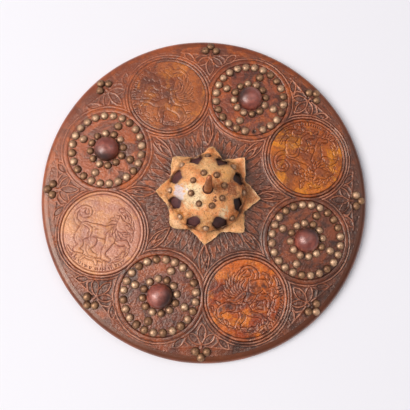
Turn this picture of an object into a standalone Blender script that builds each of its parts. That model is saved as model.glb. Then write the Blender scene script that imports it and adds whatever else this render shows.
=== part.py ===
"""Round hide shield: a domed board under tooled leather, with boss, spike, knobs and tacks.

Metres, +Z out of the face. The origin is the middle of the shield on the surface it lies on.
"""

import math

import bmesh
import bpy
from mathutils import Matrix, Vector

GAP = 0.0003            # clearance between pieces that touch

# Board and face leather
OUTER_R = 0.2515        # widest point of the rolled edge
EDGE_R = 0.009          # radius of the rolled edge
DOME = 0.015            # rise of the face from its edge to its middle
LEATHER = 0.0025        # thickness of the face leather
TURN_IN_R = 0.226       # where the leather ends at the back
TURNED_STEPS = 56       # facets round the board and the leather
FACE_ROWS = 4           # facets from the middle of the face to its edge
EDGE_ROWS = (3, 2)      # facets of the rolled edge, above and below its widest point

# Boss, cap and spike
BOSS_R = 0.0585         # foot radius of the cap over the boss
BOSS_H = 0.0445         # height of the cap above the middle of the face
CAP = 0.0018            # thickness of the cap's hide
CAP_HOLE_R = 0.0078     # hole in the crown that the spike stands in
CAP_STEPS = 48          # facets round the cap, a multiple of 16
CAP_ROWS = 6            # facets from the hole down to the foot
FOOT_ANGLE = 76         # degrees down the dome where the skirt turns out
SKIRT_ROWS = 3          # facets across the skirt
SKIRT_LIFT = 0.0035     # height of the skirt over the face at the foot
STAR_WAIST = 0.85       # 1 makes the star two crossed squares, less fills its notches
TIP_REACH = (0.0815, 0.0785, 0.0715, 0.0760, 0.0770, 0.0760, 0.0785, 0.0820)
TIP_CURL = (0.004, 0.005, 0.013, 0.006, 0.003, 0.006, 0.002, 0.005)
WINDOW_WIDTH = 0.0205   # the eight five-cornered cut-outs, where they are widest
WINDOW_DROP = 0.0250    # from their upper corner to their lower side
WINDOW_AT = 60          # degrees down the dome at their middle
WINDOW_ROUND = 0.0025   # cut taken off their corners
SPIKE_LENGTH = 0.095
SPIKE_R = 0.0070
SPIKE_WAIST = 0.74      # its radius a little over halfway up, as a share of SPIKE_R
SPIKE_TIP = 0.48        # radius of its rounded end, likewise
SPIKE_LEAN = math.radians(-3.0)
SPIKE_STEPS = 16

# Knobs and tacks
RING_R = 0.167          # from the middle of the face to each knob
KNOB_R = 0.0195
KNOB_H = 0.0170
KNOB_STEPS = 20
KNOB_SHOULDER = 0.8     # below 1 the knob is fuller than half a ball
RIM_TACK = (0.0057, 0.0045)     # radius and height of a tack's head
BOSS_TACK = (0.0050, 0.0042)
TACK_UNDER = 0.9        # a head's flat underside, as a share of its radius
TACK_STEPS = 8
RIM_GROUPS = 8
RIM_PAIR_R = 0.2330     # the two inner tacks of a rim group
RIM_PAIR_HALF = 0.0084  # half the distance between them
RIM_SINGLE_R = 0.2412   # the outer tack of a rim group
CROWN_TACK_R = 0.0245
CROWN_TACK_TURN = 15.5  # degrees from the first crown tack to +X
FOOT_TACK_AT = 66       # degrees down the dome

# Straps at the back
STRAP_SIZES = {         # place along X, width, thickness
    "arm_strap": (-0.085, 0.045, 0.0035),
    "hand_grip": (0.080, 0.030, 0.0040),
}
STRAP_HALF = 0.100      # half a strap's length
STRAP_TAB = 0.025       # length that is nailed down at each end
STRAP_SLOPE = 0.028     # length over which it leaves the board
STRAP_FREE_Z = 0.0058   # top of its free stretch
STRAP_ROWS = 24
STRAP_COLUMNS = 4

EDGE_Z = 2 * EDGE_R                 # height of the face at its edge
FACE_R = OUTER_R - EDGE_R           # radius where the face turns into the edge
EDGE_START = math.atan(2 * DOME / FACE_R)

FINISHES = {                        # base colour, roughness, metallic
    "wood": ((0.30, 0.17, 0.09), 0.70, 0.0),
    "tooled_leather": ((0.26, 0.09, 0.05), 0.45, 0.0),
    "dark_leather": ((0.12, 0.04, 0.03), 0.35, 0.0),
    "pale_hide": ((0.62, 0.34, 0.14), 0.50, 0.0),
    "bronze": ((0.42, 0.20, 0.09), 0.35, 1.0),
    "brass": ((0.45, 0.31, 0.15), 0.38, 1.0),
    "strap_leather": ((0.16, 0.08, 0.05), 0.60, 0.0),
}


def clear_scene():
    for old in list(bpy.data.objects):
        bpy.data.objects.remove(old, do_unlink=True)


def new_collection(name):
    collection = bpy.data.collections.new(name)
    bpy.context.scene.collection.children.link(collection)
    return collection


def make_material(name):
    colour, roughness, metallic = FINISHES[name]
    material = bpy.data.materials.new(name)
    material.use_nodes = True
    shader = material.node_tree.nodes["Principled BSDF"]
    shader.inputs["Base Color"].default_value = (*colour, 1.0)
    shader.inputs["Roughness"].default_value = roughness
    shader.inputs["Metallic"].default_value = metallic
    return material


def add_object(name, mesh, material, collection):
    obj = bpy.data.objects.new(name, mesh)
    collection.objects.link(obj)
    if material is not None:
        mesh.materials.append(material)
    return obj


def face_z(radius, depth=0.0):
    """Height of the domed face, or of a surface that lies depth below it."""
    return EDGE_Z + DOME * (1 - (radius / FACE_R) ** 2) - depth


def profile_mesh(name, points):
    """An open profile in the XZ plane, from (radius, height) pairs."""
    mesh = bpy.data.meshes.new(name)
    edges = [(i, i + 1) for i in range(len(points) - 1)]
    mesh.from_pydata([(r, 0.0, z) for r, z in points], edges, [])
    return mesh


def turn_profile(obj, steps):
    """Turn the profile once round Z."""
    screw = obj.modifiers.new("Turn", "SCREW")
    screw.axis = "Z"
    screw.steps = steps
    screw.render_steps = steps
    screw.use_merge_vertices = True
    screw.merge_threshold = 0.00005
    screw.use_smooth_shade = True


def shield_profile(depth, inner_r):
    """Face, rolled edge and underside, depth inside the outer surface, down to inner_r."""
    points = []
    for i in range(FACE_ROWS):
        radius = FACE_R * i / FACE_ROWS
        points.append((radius, face_z(radius, depth)))
    upper, lower = EDGE_ROWS
    quarter = math.pi / 2
    angles = [EDGE_START + (quarter - EDGE_START) * i / upper for i in range(upper)]
    angles += [quarter + quarter * i / lower for i in range(lower + 1)]
    reach = EDGE_R - depth
    for angle in angles:
        points.append((FACE_R + reach * math.sin(angle), EDGE_R + reach * math.cos(angle)))
    points.append((inner_r, depth))
    return points


def make_board(material, collection):
    """The domed board, 0.3 mm inside the leather, of even thickness."""
    depth = LEATHER + GAP
    points = shield_profile(depth, TURN_IN_R)
    for i in reversed(range(FACE_ROWS)):
        radius = TURN_IN_R * i / FACE_ROWS
        points.append((radius, back_z(radius)))
    obj = add_object("board", profile_mesh("board", points), material, collection)
    turn_profile(obj, TURNED_STEPS)
    return obj


def back_z(radius):
    """Height of the board's hollow underside."""
    depth = LEATHER + GAP
    return depth + DOME * (1 - (radius / TURN_IN_R) ** 2)


def make_face_leather(material, collection):
    """One hide over the face and round the edge, a skin of even thickness."""
    mesh = profile_mesh("face_leather", shield_profile(0.0, TURN_IN_R))
    obj = add_object("face_leather", mesh, material, collection)
    turn_profile(obj, TURNED_STEPS)
    skin = obj.modifiers.new("Thickness", "SOLIDIFY")
    skin.thickness = LEATHER
    skin.offset = -1.0
    return obj


def dome_point(degrees, shrink=0.0):
    """Radius and height on the boss, degrees down from its crown, shrink inside its skin."""
    angle = math.radians(degrees)
    radius = (BOSS_R - shrink) * math.sin(angle)
    return radius, face_z(0.0) + (BOSS_H - shrink) * math.cos(angle)


def make_boss_dome(material, collection):
    shrink = CAP + GAP
    points = [dome_point(90 * i / CAP_ROWS, shrink) for i in range(CAP_ROWS)]
    foot_z = face_z(0.0) + GAP
    points.append((BOSS_R - shrink, foot_z + GAP))
    points.append((BOSS_R - shrink, foot_z))
    points.append((0.0, foot_z))
    obj = add_object("boss_dome", profile_mesh("boss_dome", points), material, collection)
    turn_profile(obj, CAP_STEPS // 2)
    return obj


def star_reach(step):
    """Outline radius and curl of the star at one of CAP_STEPS directions."""
    per_tip = CAP_STEPS // len(TIP_REACH)
    tip, offset = divmod(step, per_tip)
    following = (tip + 1) % len(TIP_REACH)
    if offset > per_tip / 2:
        tip, offset = following, offset - per_tip
        following = (tip - 1) % len(TIP_REACH)
    angle = abs(offset) * 2 * math.pi / CAP_STEPS
    waist_angle = math.pi / len(TIP_REACH)
    waist = math.cos(waist_angle) + STAR_WAIST * math.sin(waist_angle)
    waist_r = (TIP_REACH[tip] + TIP_REACH[following]) / 2 / waist
    tip_share = 1 - angle / waist_angle
    straight = TIP_REACH[tip] / (math.cos(angle) + STAR_WAIST * math.sin(angle))
    own_waist_r = TIP_REACH[tip] / waist
    reach = straight + (waist_r - own_waist_r) * (1 - tip_share)
    return reach, TIP_CURL[tip] * tip_share ** 2


def cap_surface():
    """The cap's outer surface: from the hole over the dome, then out to the star's edge."""
    bm = bmesh.new()
    top = math.degrees(math.asin(CAP_HOLE_R / BOSS_R))
    rows = []
    for i in range(CAP_ROWS + 1):
        radius, height = dome_point(top + (FOOT_ANGLE - top) * i / CAP_ROWS)
        rows.append([(radius, height)] * CAP_STEPS)
    foot_r, foot_z = dome_point(FOOT_ANGLE)
    for i in range(1, SKIRT_ROWS + 1):
        share = i / SKIRT_ROWS
        row = []
        for step in range(CAP_STEPS):
            reach, curl = star_reach(step)
            radius = foot_r + (reach - foot_r) * share
            skirt_z = face_z(radius) + CAP + SKIRT_LIFT + curl * share ** 2
            row.append((radius, foot_z + (skirt_z - foot_z) * share ** 0.5))
        rows.append(row)
    rings = []
    for row in rows:
        ring = []
        for step, (radius, height) in enumerate(row):
            angle = 2 * math.pi * step / CAP_STEPS
            ring.append(bm.verts.new((radius * math.cos(angle), radius * math.sin(angle), height)))
        rings.append(ring)
    for inner, outer in zip(rings, rings[1:]):
        for step in range(CAP_STEPS):
            after = (step + 1) % CAP_STEPS
            bm.faces.new((inner[step], outer[step], outer[after], inner[after]))
    mesh = bpy.data.meshes.new("boss_cap")
    bm.to_mesh(mesh)
    bm.free()
    return mesh


def make_window_cutters(collection):
    """Eight blunt-cornered pentagonal bars through the cap, one corner towards the crown."""
    radius, height = dome_point(WINDOW_AT)
    slope = math.atan2(radius / BOSS_R ** 2, (height - face_z(0.0)) / BOSS_H ** 2)
    for i in range(len(TIP_REACH)):
        mesh = bpy.data.meshes.new("window")
        bm = bmesh.new()
        bmesh.ops.create_cone(bm, cap_ends=True, segments=5, radius1=1.0, radius2=1.0, depth=1.0)
        bmesh.ops.rotate(bm, matrix=Matrix.Rotation(math.pi / 2, 3, "Z"), verts=bm.verts)
        length = 1 + math.cos(math.radians(36))
        width = 2 * math.sin(math.radians(72))
        size = Vector((WINDOW_DROP / length, WINDOW_WIDTH / width, 6 * CAP))
        bmesh.ops.scale(bm, vec=size, verts=bm.verts)
        weight = bm.edges.layers.float.new("bevel_weight_edge")
        for edge in bm.edges:
            along = edge.verts[0].co - edge.verts[1].co
            edge[weight] = 1.0 if abs(along.z) > 0.5 * size.z else 0.0
        bm.to_mesh(mesh)
        bm.free()
        cutter = add_object(f"window_{i + 1}", mesh, None, collection)
        turn = (i + 0.5) * 2 * math.pi / len(TIP_REACH)
        lay = Matrix.Rotation(turn, 4, "Z") @ Matrix.Translation((radius, 0.0, height))
        cutter.matrix_world = lay @ Matrix.Rotation(slope, 4, "Y")
        rounding = cutter.modifiers.new("Round", "BEVEL")
        rounding.width = WINDOW_ROUND
        rounding.segments = 1
        rounding.limit_method = "WEIGHT"
        cutter.hide_render = True
        cutter.display_type = "WIRE"


def make_boss_cap(material, collection, cutters):
    obj = add_object("boss_cap", cap_surface(), material, collection)
    skin = obj.modifiers.new("Thickness", "SOLIDIFY")
    skin.thickness = CAP
    skin.offset = -1.0
    windows = obj.modifiers.new("Windows", "BOOLEAN")
    windows.operation = "DIFFERENCE"
    windows.operand_type = "COLLECTION"
    windows.collection = cutters
    windows.solver = "EXACT"
    return obj


def make_spike(material, collection):
    """A tapered peg with a rounded end, leaning a little."""
    tip_r = SPIKE_TIP * SPIKE_R
    points = [(0.0, SPIKE_LENGTH)]
    for degrees in (35, 65, 90):
        angle = math.radians(degrees)
        points.append((tip_r * math.sin(angle), SPIKE_LENGTH - tip_r * (1 - math.cos(angle))))
    points.append((SPIKE_WAIST * SPIKE_R, 0.55 * SPIKE_LENGTH))
    points.append((SPIKE_R, 0.08 * SPIKE_LENGTH))
    points.append((0.92 * SPIKE_R, 0.0))
    points.append((0.0, 0.0))
    obj = add_object("spike", profile_mesh("spike", points), material, collection)
    turn_profile(obj, SPIKE_STEPS)
    dip = SPIKE_R * abs(math.sin(SPIKE_LEAN))
    obj.location = (0.0, 0.0, face_z(0.0) + BOSS_H - CAP + dip)
    obj.rotation_euler = (0.0, SPIKE_LEAN, 0.0)
    return obj


def place_on_face(obj, radius, degrees, offset=0.0):
    """Stand a piece on the domed face, offset sideways from the direction given."""
    angle = math.radians(degrees)
    outward = Vector((math.cos(angle), math.sin(angle), 0.0))
    sideways = Vector((-math.sin(angle), math.cos(angle), 0.0))
    point = outward * radius + sideways * offset
    reach = point.length
    slope = math.atan(2 * DOME * reach / FACE_R ** 2)
    normal = point.normalized() * math.sin(slope) + Vector((0.0, 0.0, math.cos(slope)))
    obj.location = point + Vector((0.0, 0.0, face_z(reach))) + normal * (2 * GAP)
    obj.rotation_euler = normal.to_track_quat("Z", "Y").to_euler()


def make_knobs(material, collection):
    """Four knobs, round-shouldered, midway between the eight directions of the rim groups."""
    points = [(0.0, KNOB_H)]
    for degrees in (18, 36, 56, 78):
        angle = math.radians(degrees)
        points.append((KNOB_R * math.sin(angle), KNOB_H * math.cos(angle) ** KNOB_SHOULDER))
    points.append((0.96 * KNOB_R, 0.0))
    points.append((0.0, 0.0))
    mesh = profile_mesh("knob", points)
    mesh.materials.append(material)
    for i in range(4):
        obj = add_object(f"knob_{i + 1}", mesh, None, collection)
        turn_profile(obj, KNOB_STEPS)
        place_on_face(obj, RING_R, 67.5 + 90 * i)


def tack_mesh(size, material):
    """A domed head over a flat underside."""
    radius, height = size
    points = [(0.0, height), (0.64 * radius, 0.78 * height), (radius, 0.14 * height),
              (TACK_UNDER * radius, 0.0), (0.0, 0.0)]
    mesh = profile_mesh("tack", points)
    mesh.materials.append(material)
    return mesh


def make_rim_tacks(mesh, collection):
    number = 0
    for group in range(RIM_GROUPS):
        degrees = 90 - 360 * group / RIM_GROUPS
        for radius, offset in ((RIM_PAIR_R, RIM_PAIR_HALF), (RIM_PAIR_R, -RIM_PAIR_HALF),
                               (RIM_SINGLE_R, 0.0)):
            number += 1
            obj = add_object(f"rim_tack_{number:02d}", mesh, None, collection)
            turn_profile(obj, TACK_STEPS)
            place_on_face(obj, radius, degrees, offset)


def place_on_boss(obj, down, round_degrees):
    """Seat a tack on the cap, down degrees from the crown."""
    radius, height = dome_point(down)
    slope = math.atan2(radius / BOSS_R ** 2, (height - face_z(0.0)) / BOSS_H ** 2)
    turn = math.radians(round_degrees)
    outward = Vector((math.cos(turn), math.sin(turn), 0.0))
    normal = outward * math.sin(slope) + Vector((0.0, 0.0, math.cos(slope)))
    obj.location = outward * radius + Vector((0.0, 0.0, height)) + normal * (2 * GAP)
    obj.rotation_euler = normal.to_track_quat("Z", "Y").to_euler()


def make_boss_tacks(mesh, collection):
    crown_down = math.degrees(math.asin(CROWN_TACK_R / BOSS_R))
    rows = (("crown_tack", crown_down, CROWN_TACK_TURN), ("foot_tack", FOOT_TACK_AT, 0.0))
    for name, down, turn in rows:
        for i in range(len(TIP_REACH)):
            obj = add_object(f"{name}_{i + 1}", mesh, None, collection)
            turn_profile(obj, TACK_STEPS)
            place_on_boss(obj, down, turn + 360 * i / len(TIP_REACH))


def strap_top(x, y):
    """Height of a strap's upper side: against the board at its ends, free between them."""
    held_z = back_z(math.hypot(x, y)) - GAP
    share = (STRAP_HALF - STRAP_TAB - abs(y)) / STRAP_SLOPE
    share = min(max(share, 0.0), 1.0)
    ease = share * share * (3 - 2 * share)
    return held_z + (STRAP_FREE_Z - held_z) * ease


def make_strap(name, material, collection):
    """A flat leather band along Y, nailed down at its ends, with room for an arm or a hand."""
    centre_x, width, thickness = STRAP_SIZES[name]
    bm = bmesh.new()
    bmesh.ops.create_grid(bm, x_segments=STRAP_COLUMNS, y_segments=STRAP_ROWS, size=0.5)
    for vert in bm.verts:
        x = centre_x + vert.co.x * width
        y = vert.co.y * 2 * STRAP_HALF
        vert.co = (x, y, strap_top(x, y))
    mesh = bpy.data.meshes.new(name)
    bm.to_mesh(mesh)
    bm.free()
    obj = add_object(name, mesh, material, collection)
    skin = obj.modifiers.new("Thickness", "SOLIDIFY")
    skin.thickness = thickness
    skin.offset = -1.0
    return obj


def main():
    clear_scene()
    shield = new_collection("hide_shield")
    cutters = new_collection("cutters")
    finish = {name: make_material(name) for name in FINISHES}
    make_board(finish["wood"], shield)
    make_face_leather(finish["tooled_leather"], shield)
    make_boss_dome(finish["dark_leather"], shield)
    make_window_cutters(cutters)
    make_boss_cap(finish["pale_hide"], shield, cutters)
    make_spike(finish["bronze"], shield)
    make_knobs(finish["dark_leather"], shield)
    make_rim_tacks(tack_mesh(RIM_TACK, finish["brass"]), shield)
    make_boss_tacks(tack_mesh(BOSS_TACK, finish["brass"]), shield)
    for name in STRAP_SIZES:
        make_strap(name, finish["strap_leather"], shield)


main()
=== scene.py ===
import math

import bpy
import numpy as np
from mathutils import Matrix, Vector


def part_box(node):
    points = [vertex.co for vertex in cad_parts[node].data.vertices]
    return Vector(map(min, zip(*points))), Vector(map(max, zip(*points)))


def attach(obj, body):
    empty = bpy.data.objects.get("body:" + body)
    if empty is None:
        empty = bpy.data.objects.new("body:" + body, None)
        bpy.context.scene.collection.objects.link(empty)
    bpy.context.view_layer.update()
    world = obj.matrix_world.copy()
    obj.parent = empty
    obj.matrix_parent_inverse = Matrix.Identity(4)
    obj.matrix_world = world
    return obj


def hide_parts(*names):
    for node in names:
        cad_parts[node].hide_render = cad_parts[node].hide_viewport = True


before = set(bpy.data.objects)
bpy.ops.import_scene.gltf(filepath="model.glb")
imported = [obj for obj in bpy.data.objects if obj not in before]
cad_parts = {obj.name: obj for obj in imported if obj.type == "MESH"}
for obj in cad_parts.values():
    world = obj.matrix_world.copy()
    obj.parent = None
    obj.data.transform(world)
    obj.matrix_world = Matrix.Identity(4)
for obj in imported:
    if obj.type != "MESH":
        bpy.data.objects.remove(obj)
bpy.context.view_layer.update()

dice = np.random.default_rng(11)
print("frame loaded")

# sizes read from the frame, in metres
mm = 0.001
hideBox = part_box("face_leather")
rimRadius = hideBox[1][0]
faceTop = hideBox[1][2]
edgeRadius = 9 * mm  # half the thickness of the rolled edge
faceRadius = rimRadius - edgeRadius
domeRise = faceTop - 2 * edgeRadius
lipRadius = 226 * mm  # where the hide ends at the back
hideThickness = 2.2 * mm


def faceHeight(radius):
    return 2 * edgeRadius + domeRise * (1 - (radius / faceRadius) ** 2)


def middleOf(node):
    return [(low + high) / 2 for low, high in zip(*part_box(node))]


rimNodes = [f"rim_tack_{i + 1:02d}" for i in range(24)]
bossNodes = {row: [f"{row}_tack_{i + 1}" for i in range(8)] for row in ("crown", "foot")}


# shapes of numbers

def ramp(value, start, span):  # 0 at start, 1 a span beyond it; a negative span runs the other way
    return np.clip((value - start) / span, 0, 1)


def hump(value, width, power=2):  # 1 at zero, fading over the width
    return np.exp(-((value / width) ** power))


def polar(radius, degrees, centre=(0.0, 0.0)):
    turn = math.radians(degrees)
    return (centre[0] + radius * math.cos(turn), centre[1] + radius * math.sin(turn))


def turned(x, y, angle, centre=(0.0, 0.0)):  # a place turned round the origin, then moved, angle in radians
    return (centre[0] + x * math.cos(angle) - y * math.sin(angle),
            centre[1] + x * math.sin(angle) + y * math.cos(angle))


def wrinkles(x, y, seed, waves):  # a few crossed waves, as a soft unevenness
    dicer = np.random.default_rng(seed)
    total = 0 * x
    for length, height in waves:
        for _ in range(5):
            heading, phase = dicer.uniform(0, 2 * math.pi, 2)
            stretch = length * dicer.uniform(0.7, 1.4)
            along = x * math.cos(heading) + y * math.sin(heading)
            total = total + height * 0.45 * np.sin(2 * math.pi * along / stretch + phase)
    return total


# modelling helpers

def deselectAll():
    if bpy.context.object and bpy.context.object.mode != "OBJECT":
        bpy.ops.object.mode_set(mode="OBJECT")
    bpy.ops.object.select_all(action="DESELECT")


def makeActive(piece):
    deselectAll()
    piece.select_set(True)
    bpy.context.view_layer.objects.active = piece


def getPoints(piece):
    flat = np.empty(len(piece.data.vertices) * 3, np.float32)
    piece.data.vertices.foreach_get("co", flat)
    return flat.reshape(-1, 3).astype(float)


def setPoints(piece, points):
    piece.data.vertices.foreach_set("co", np.asarray(points, np.float32).ravel())
    piece.data.update()


def setAttribute(piece, name, values):
    layer = piece.data.attributes.new(name, "FLOAT", "POINT")
    layer.data.foreach_set("value", np.asarray(values, np.float32))


def openPoints(piece):  # vertices on the open edges
    mesh = piece.data
    ends = np.empty(len(mesh.edges) * 2, np.int32)
    mesh.edges.foreach_get("vertices", ends)
    used = np.empty(len(mesh.loops), np.int32)
    mesh.loops.foreach_get("edge_index", used)
    uses = np.bincount(used, minlength=len(mesh.edges))
    return np.unique(ends.reshape(-1, 2)[uses == 1])


def editPoints(piece, mask):  # goes into edit mode with only these vertices selected
    makeActive(piece)
    bpy.ops.object.mode_set(mode="EDIT")
    bpy.ops.mesh.select_mode(type="VERT")
    bpy.ops.mesh.select_all(action="DESELECT")
    bpy.ops.object.mode_set(mode="OBJECT")
    piece.data.vertices.foreach_set("select", np.asarray(mask, bool))
    bpy.ops.object.mode_set(mode="EDIT")


def leaveEdit():
    bpy.ops.object.mode_set(mode="OBJECT")


def faceOutwards(piece, merge=0.0):
    editPoints(piece, np.ones(len(piece.data.vertices), bool))
    if merge:
        bpy.ops.mesh.remove_doubles(threshold=merge)
    bpy.ops.mesh.normals_make_consistent(inside=False)
    leaveEdit()


def applyModifier(piece, kind, **values):
    made = piece.modifiers.new(kind.lower(), kind)
    for key, value in values.items():
        setattr(made, key, value)
    makeActive(piece)
    bpy.ops.object.modifier_apply(modifier=made.name)


def addGrid(columns, rows, width, height):  # flat grid, its corner at the origin
    deselectAll()
    bpy.ops.mesh.primitive_grid_add(x_subdivisions=columns, y_subdivisions=rows, size=1)
    piece = bpy.context.object
    points = getPoints(piece)
    setPoints(piece, np.c_[(points[:, 0] + 0.5) * width, (points[:, 1] + 0.5) * height, points[:, 2]])
    return piece


def roundSheet(cells, radius, centre):  # a grid drawn out into a disc
    piece = addGrid(cells, cells, 2, 2)
    points = getPoints(piece) - [1, 1, 0]
    u, v = points[:, 0].copy(), points[:, 1].copy()
    points[:, 0] = centre[0] + radius * u * np.sqrt(1 - v**2 / 2)
    points[:, 1] = centre[1] + radius * v * np.sqrt(1 - u**2 / 2)
    setPoints(piece, points)
    return piece


def halfBall(segments, rings, skirt):  # the upper half of a ball of radius 1, closed below
    deselectAll()
    bpy.ops.mesh.primitive_uv_sphere_add(segments=segments, ring_count=rings, radius=1)
    piece = bpy.context.object
    editPoints(piece, getPoints(piece)[:, 2] < -0.01)
    bpy.ops.mesh.delete(type="VERT")
    leaveEdit()
    if skirt:
        closeBelow(piece, skirt)
    return piece


# keeps the part of a grid where keep(x, y) is positive and draws its border onto that line
def trim(piece, keep, cell):
    points = getPoints(piece)
    editPoints(piece, keep(points[:, 0], points[:, 1]) < -0.45 * cell)
    bpy.ops.mesh.delete(type="VERT")
    bpy.ops.mesh.select_all(action="SELECT")
    bpy.ops.mesh.delete_loose()
    leaveEdit()
    points = getPoints(piece)
    border = openPoints(piece)
    border = border[keep(points[border, 0], points[border, 1]) < 1.5 * cell]
    nudge = cell * 0.01
    for _ in range(4):
        x, y = points[border, 0], points[border, 1]
        slopeX = (keep(x + nudge, y) - keep(x - nudge, y)) / (2 * nudge)
        slopeY = (keep(x, y + nudge) - keep(x, y - nudge)) / (2 * nudge)
        step = keep(x, y) / (slopeX**2 + slopeY**2 + 1e-9)
        points[border, 0] -= step * slopeX
        points[border, 1] -= step * slopeY
    setPoints(piece, points)
    beside = keep(points[:, 0], points[:, 1]) < 2.6 * cell
    beside[openPoints(piece)] = False
    editPoints(piece, beside)
    bpy.ops.mesh.vertices_smooth(factor=0.5, repeat=4)
    leaveEdit()


# gives a sheet its thickness: a wall down from its edges and a plain underside
def closeBelow(piece, drop):
    makeActive(piece)
    bpy.ops.object.mode_set(mode="EDIT")
    bpy.ops.mesh.select_mode(type="EDGE")
    bpy.ops.mesh.select_all(action="DESELECT")
    bpy.ops.mesh.select_non_manifold(
        extend=False, use_wire=False, use_boundary=True, use_multi_face=False,
        use_non_contiguous=False, use_verts=False)
    bpy.ops.mesh.extrude_region_move(TRANSFORM_OT_translate={"value": (0, 0, -drop)})
    bpy.ops.mesh.fill(use_beauty=True)
    bpy.ops.mesh.select_all(action="SELECT")
    bpy.ops.mesh.normals_make_consistent(inside=False)
    leaveEdit()


# the same for a wide sheet: its underside follows height(radius) and is coarser
def lineBelow(piece, drop, height):
    count = len(piece.data.vertices)
    applyModifier(piece, "SOLIDIFY", thickness=drop, offset=-1)
    points = getPoints(piece)
    below = np.arange(len(points)) >= count
    points[below, 2] = height(np.hypot(points[below, 0], points[below, 1])) - drop
    setPoints(piece, points)
    editPoints(piece, below)
    bpy.ops.mesh.decimate(ratio=0.03)
    leaveEdit()


def dress(piece, name, finish, replaced=()):
    piece.name = name
    piece.data.name = name
    piece.data.materials.clear()
    piece.data.materials.append(finish)
    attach(piece, "root")
    if replaced:
        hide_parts(*replaced)


def finishPiece(piece, name, finish, replaced=(), angle=40):
    makeActive(piece)
    bpy.ops.object.shade_smooth_by_angle(angle=math.radians(angle))
    dress(piece, name, finish, replaced)


def copyOf(source):  # a copy with its own mesh
    twin = source.copy()
    twin.data = source.data.copy()
    bpy.context.scene.collection.objects.link(twin)
    return twin


def standOn(seat, normal):
    return Matrix.Translation(seat) @ normal.to_track_quat("Z", "Y").to_matrix().to_4x4()


# materials

def rgb(red, green, blue):  # a colour as seen on a screen, 0 to 255, made linear
    return tuple(
        (c / 255 / 12.92 if c <= 10 else ((c / 255 + 0.055) / 1.055) ** 2.4) for c in (red, green, blue)
    ) + (1.0,)


class Finish:  # a material under construction
    def __init__(self, name, roughness, metallic=0.0):
        self.material = bpy.data.materials.new(name)
        self.material.use_nodes = True
        self.tree = self.material.node_tree
        self.shader = next(n for n in self.tree.nodes if n.type == "BSDF_PRINCIPLED")
        self.coordinates = self.tree.nodes.new("ShaderNodeTexCoord").outputs["Object"]
        self.stain = None
        self.set("Roughness", roughness)
        self.set("Metallic", metallic)

    def node(self, kind, **values):
        made = self.tree.nodes.new(kind)
        for key, value in values.items():
            setattr(made, key, value)
        return made

    def feed(self, socket, value):  # with a fixed value or another node's output
        if hasattr(value, "is_output"):
            self.tree.links.new(value, socket)
        else:
            socket.default_value = value

    def set(self, socket, value):
        self.feed(self.shader.inputs[socket], value)

    def noise(self, scale, detail=3.0, roughness=0.55, distortion=0.0, stretch=None):
        made = self.node("ShaderNodeTexNoise")
        source = self.coordinates
        if stretch:
            mapping = self.node("ShaderNodeMapping")
            mapping.inputs["Scale"].default_value = stretch
            self.feed(mapping.inputs["Vector"], source)
            source = mapping.outputs[0]
        self.feed(made.inputs["Vector"], source)
        for socket, number in zip(("Scale", "Detail", "Roughness", "Distortion"),
                                  (scale, detail, roughness, distortion)):
            made.inputs[socket].default_value = number
        return made.outputs["Fac"]

    def spread(self, value, low, high, start=0.0, end=1.0):  # low..high becomes start..end, clamped
        made = self.node("ShaderNodeMapRange", interpolation_type="SMOOTHSTEP")
        self.feed(made.inputs["Value"], value)
        for socket, number in zip(("From Min", "From Max", "To Min", "To Max"), (low, high, start, end)):
            made.inputs[socket].default_value = number
        return made.outputs[0]

    def maths(self, operation, first, second):
        made = self.node("ShaderNodeMath", operation=operation)
        self.feed(made.inputs[0], first)
        self.feed(made.inputs[1], second)
        return made.outputs[0]

    def times(self, first, second):
        return self.maths("MULTIPLY", first, second)

    def mix(self, amount, first, second):
        made = self.node("ShaderNodeMix", data_type="RGBA")
        for index, value in ((0, amount), (6, first), (7, second)):
            self.feed(made.inputs[index], value)
        return made.outputs[2]

    def attribute(self, name):
        return self.node("ShaderNodeAttribute", attribute_name=name).outputs["Fac"]

    def part(self, axis):  # one of the object coordinates
        split = self.node("ShaderNodeSeparateXYZ")
        self.feed(split.inputs[0], self.coordinates)
        return split.outputs[axis]

    def paint(self, amount, tint):  # lays a tint over the colour so far
        tint = rgb(*tint) if isinstance(tint, tuple) else tint
        self.stain = self.mix(amount, self.stain, tint) if self.stain else tint
        self.set("Base Color", self.stain)

    def bump(self, height, distance, strength=1.0, under=None):
        made = self.node("ShaderNodeBump")
        made.inputs["Distance"].default_value = distance
        made.inputs["Strength"].default_value = strength
        self.feed(made.inputs["Height"], height)
        if under is not None:
            self.feed(made.inputs["Normal"], under)
        self.set("Normal", made.outputs[0])
        return made.outputs[0]


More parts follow.
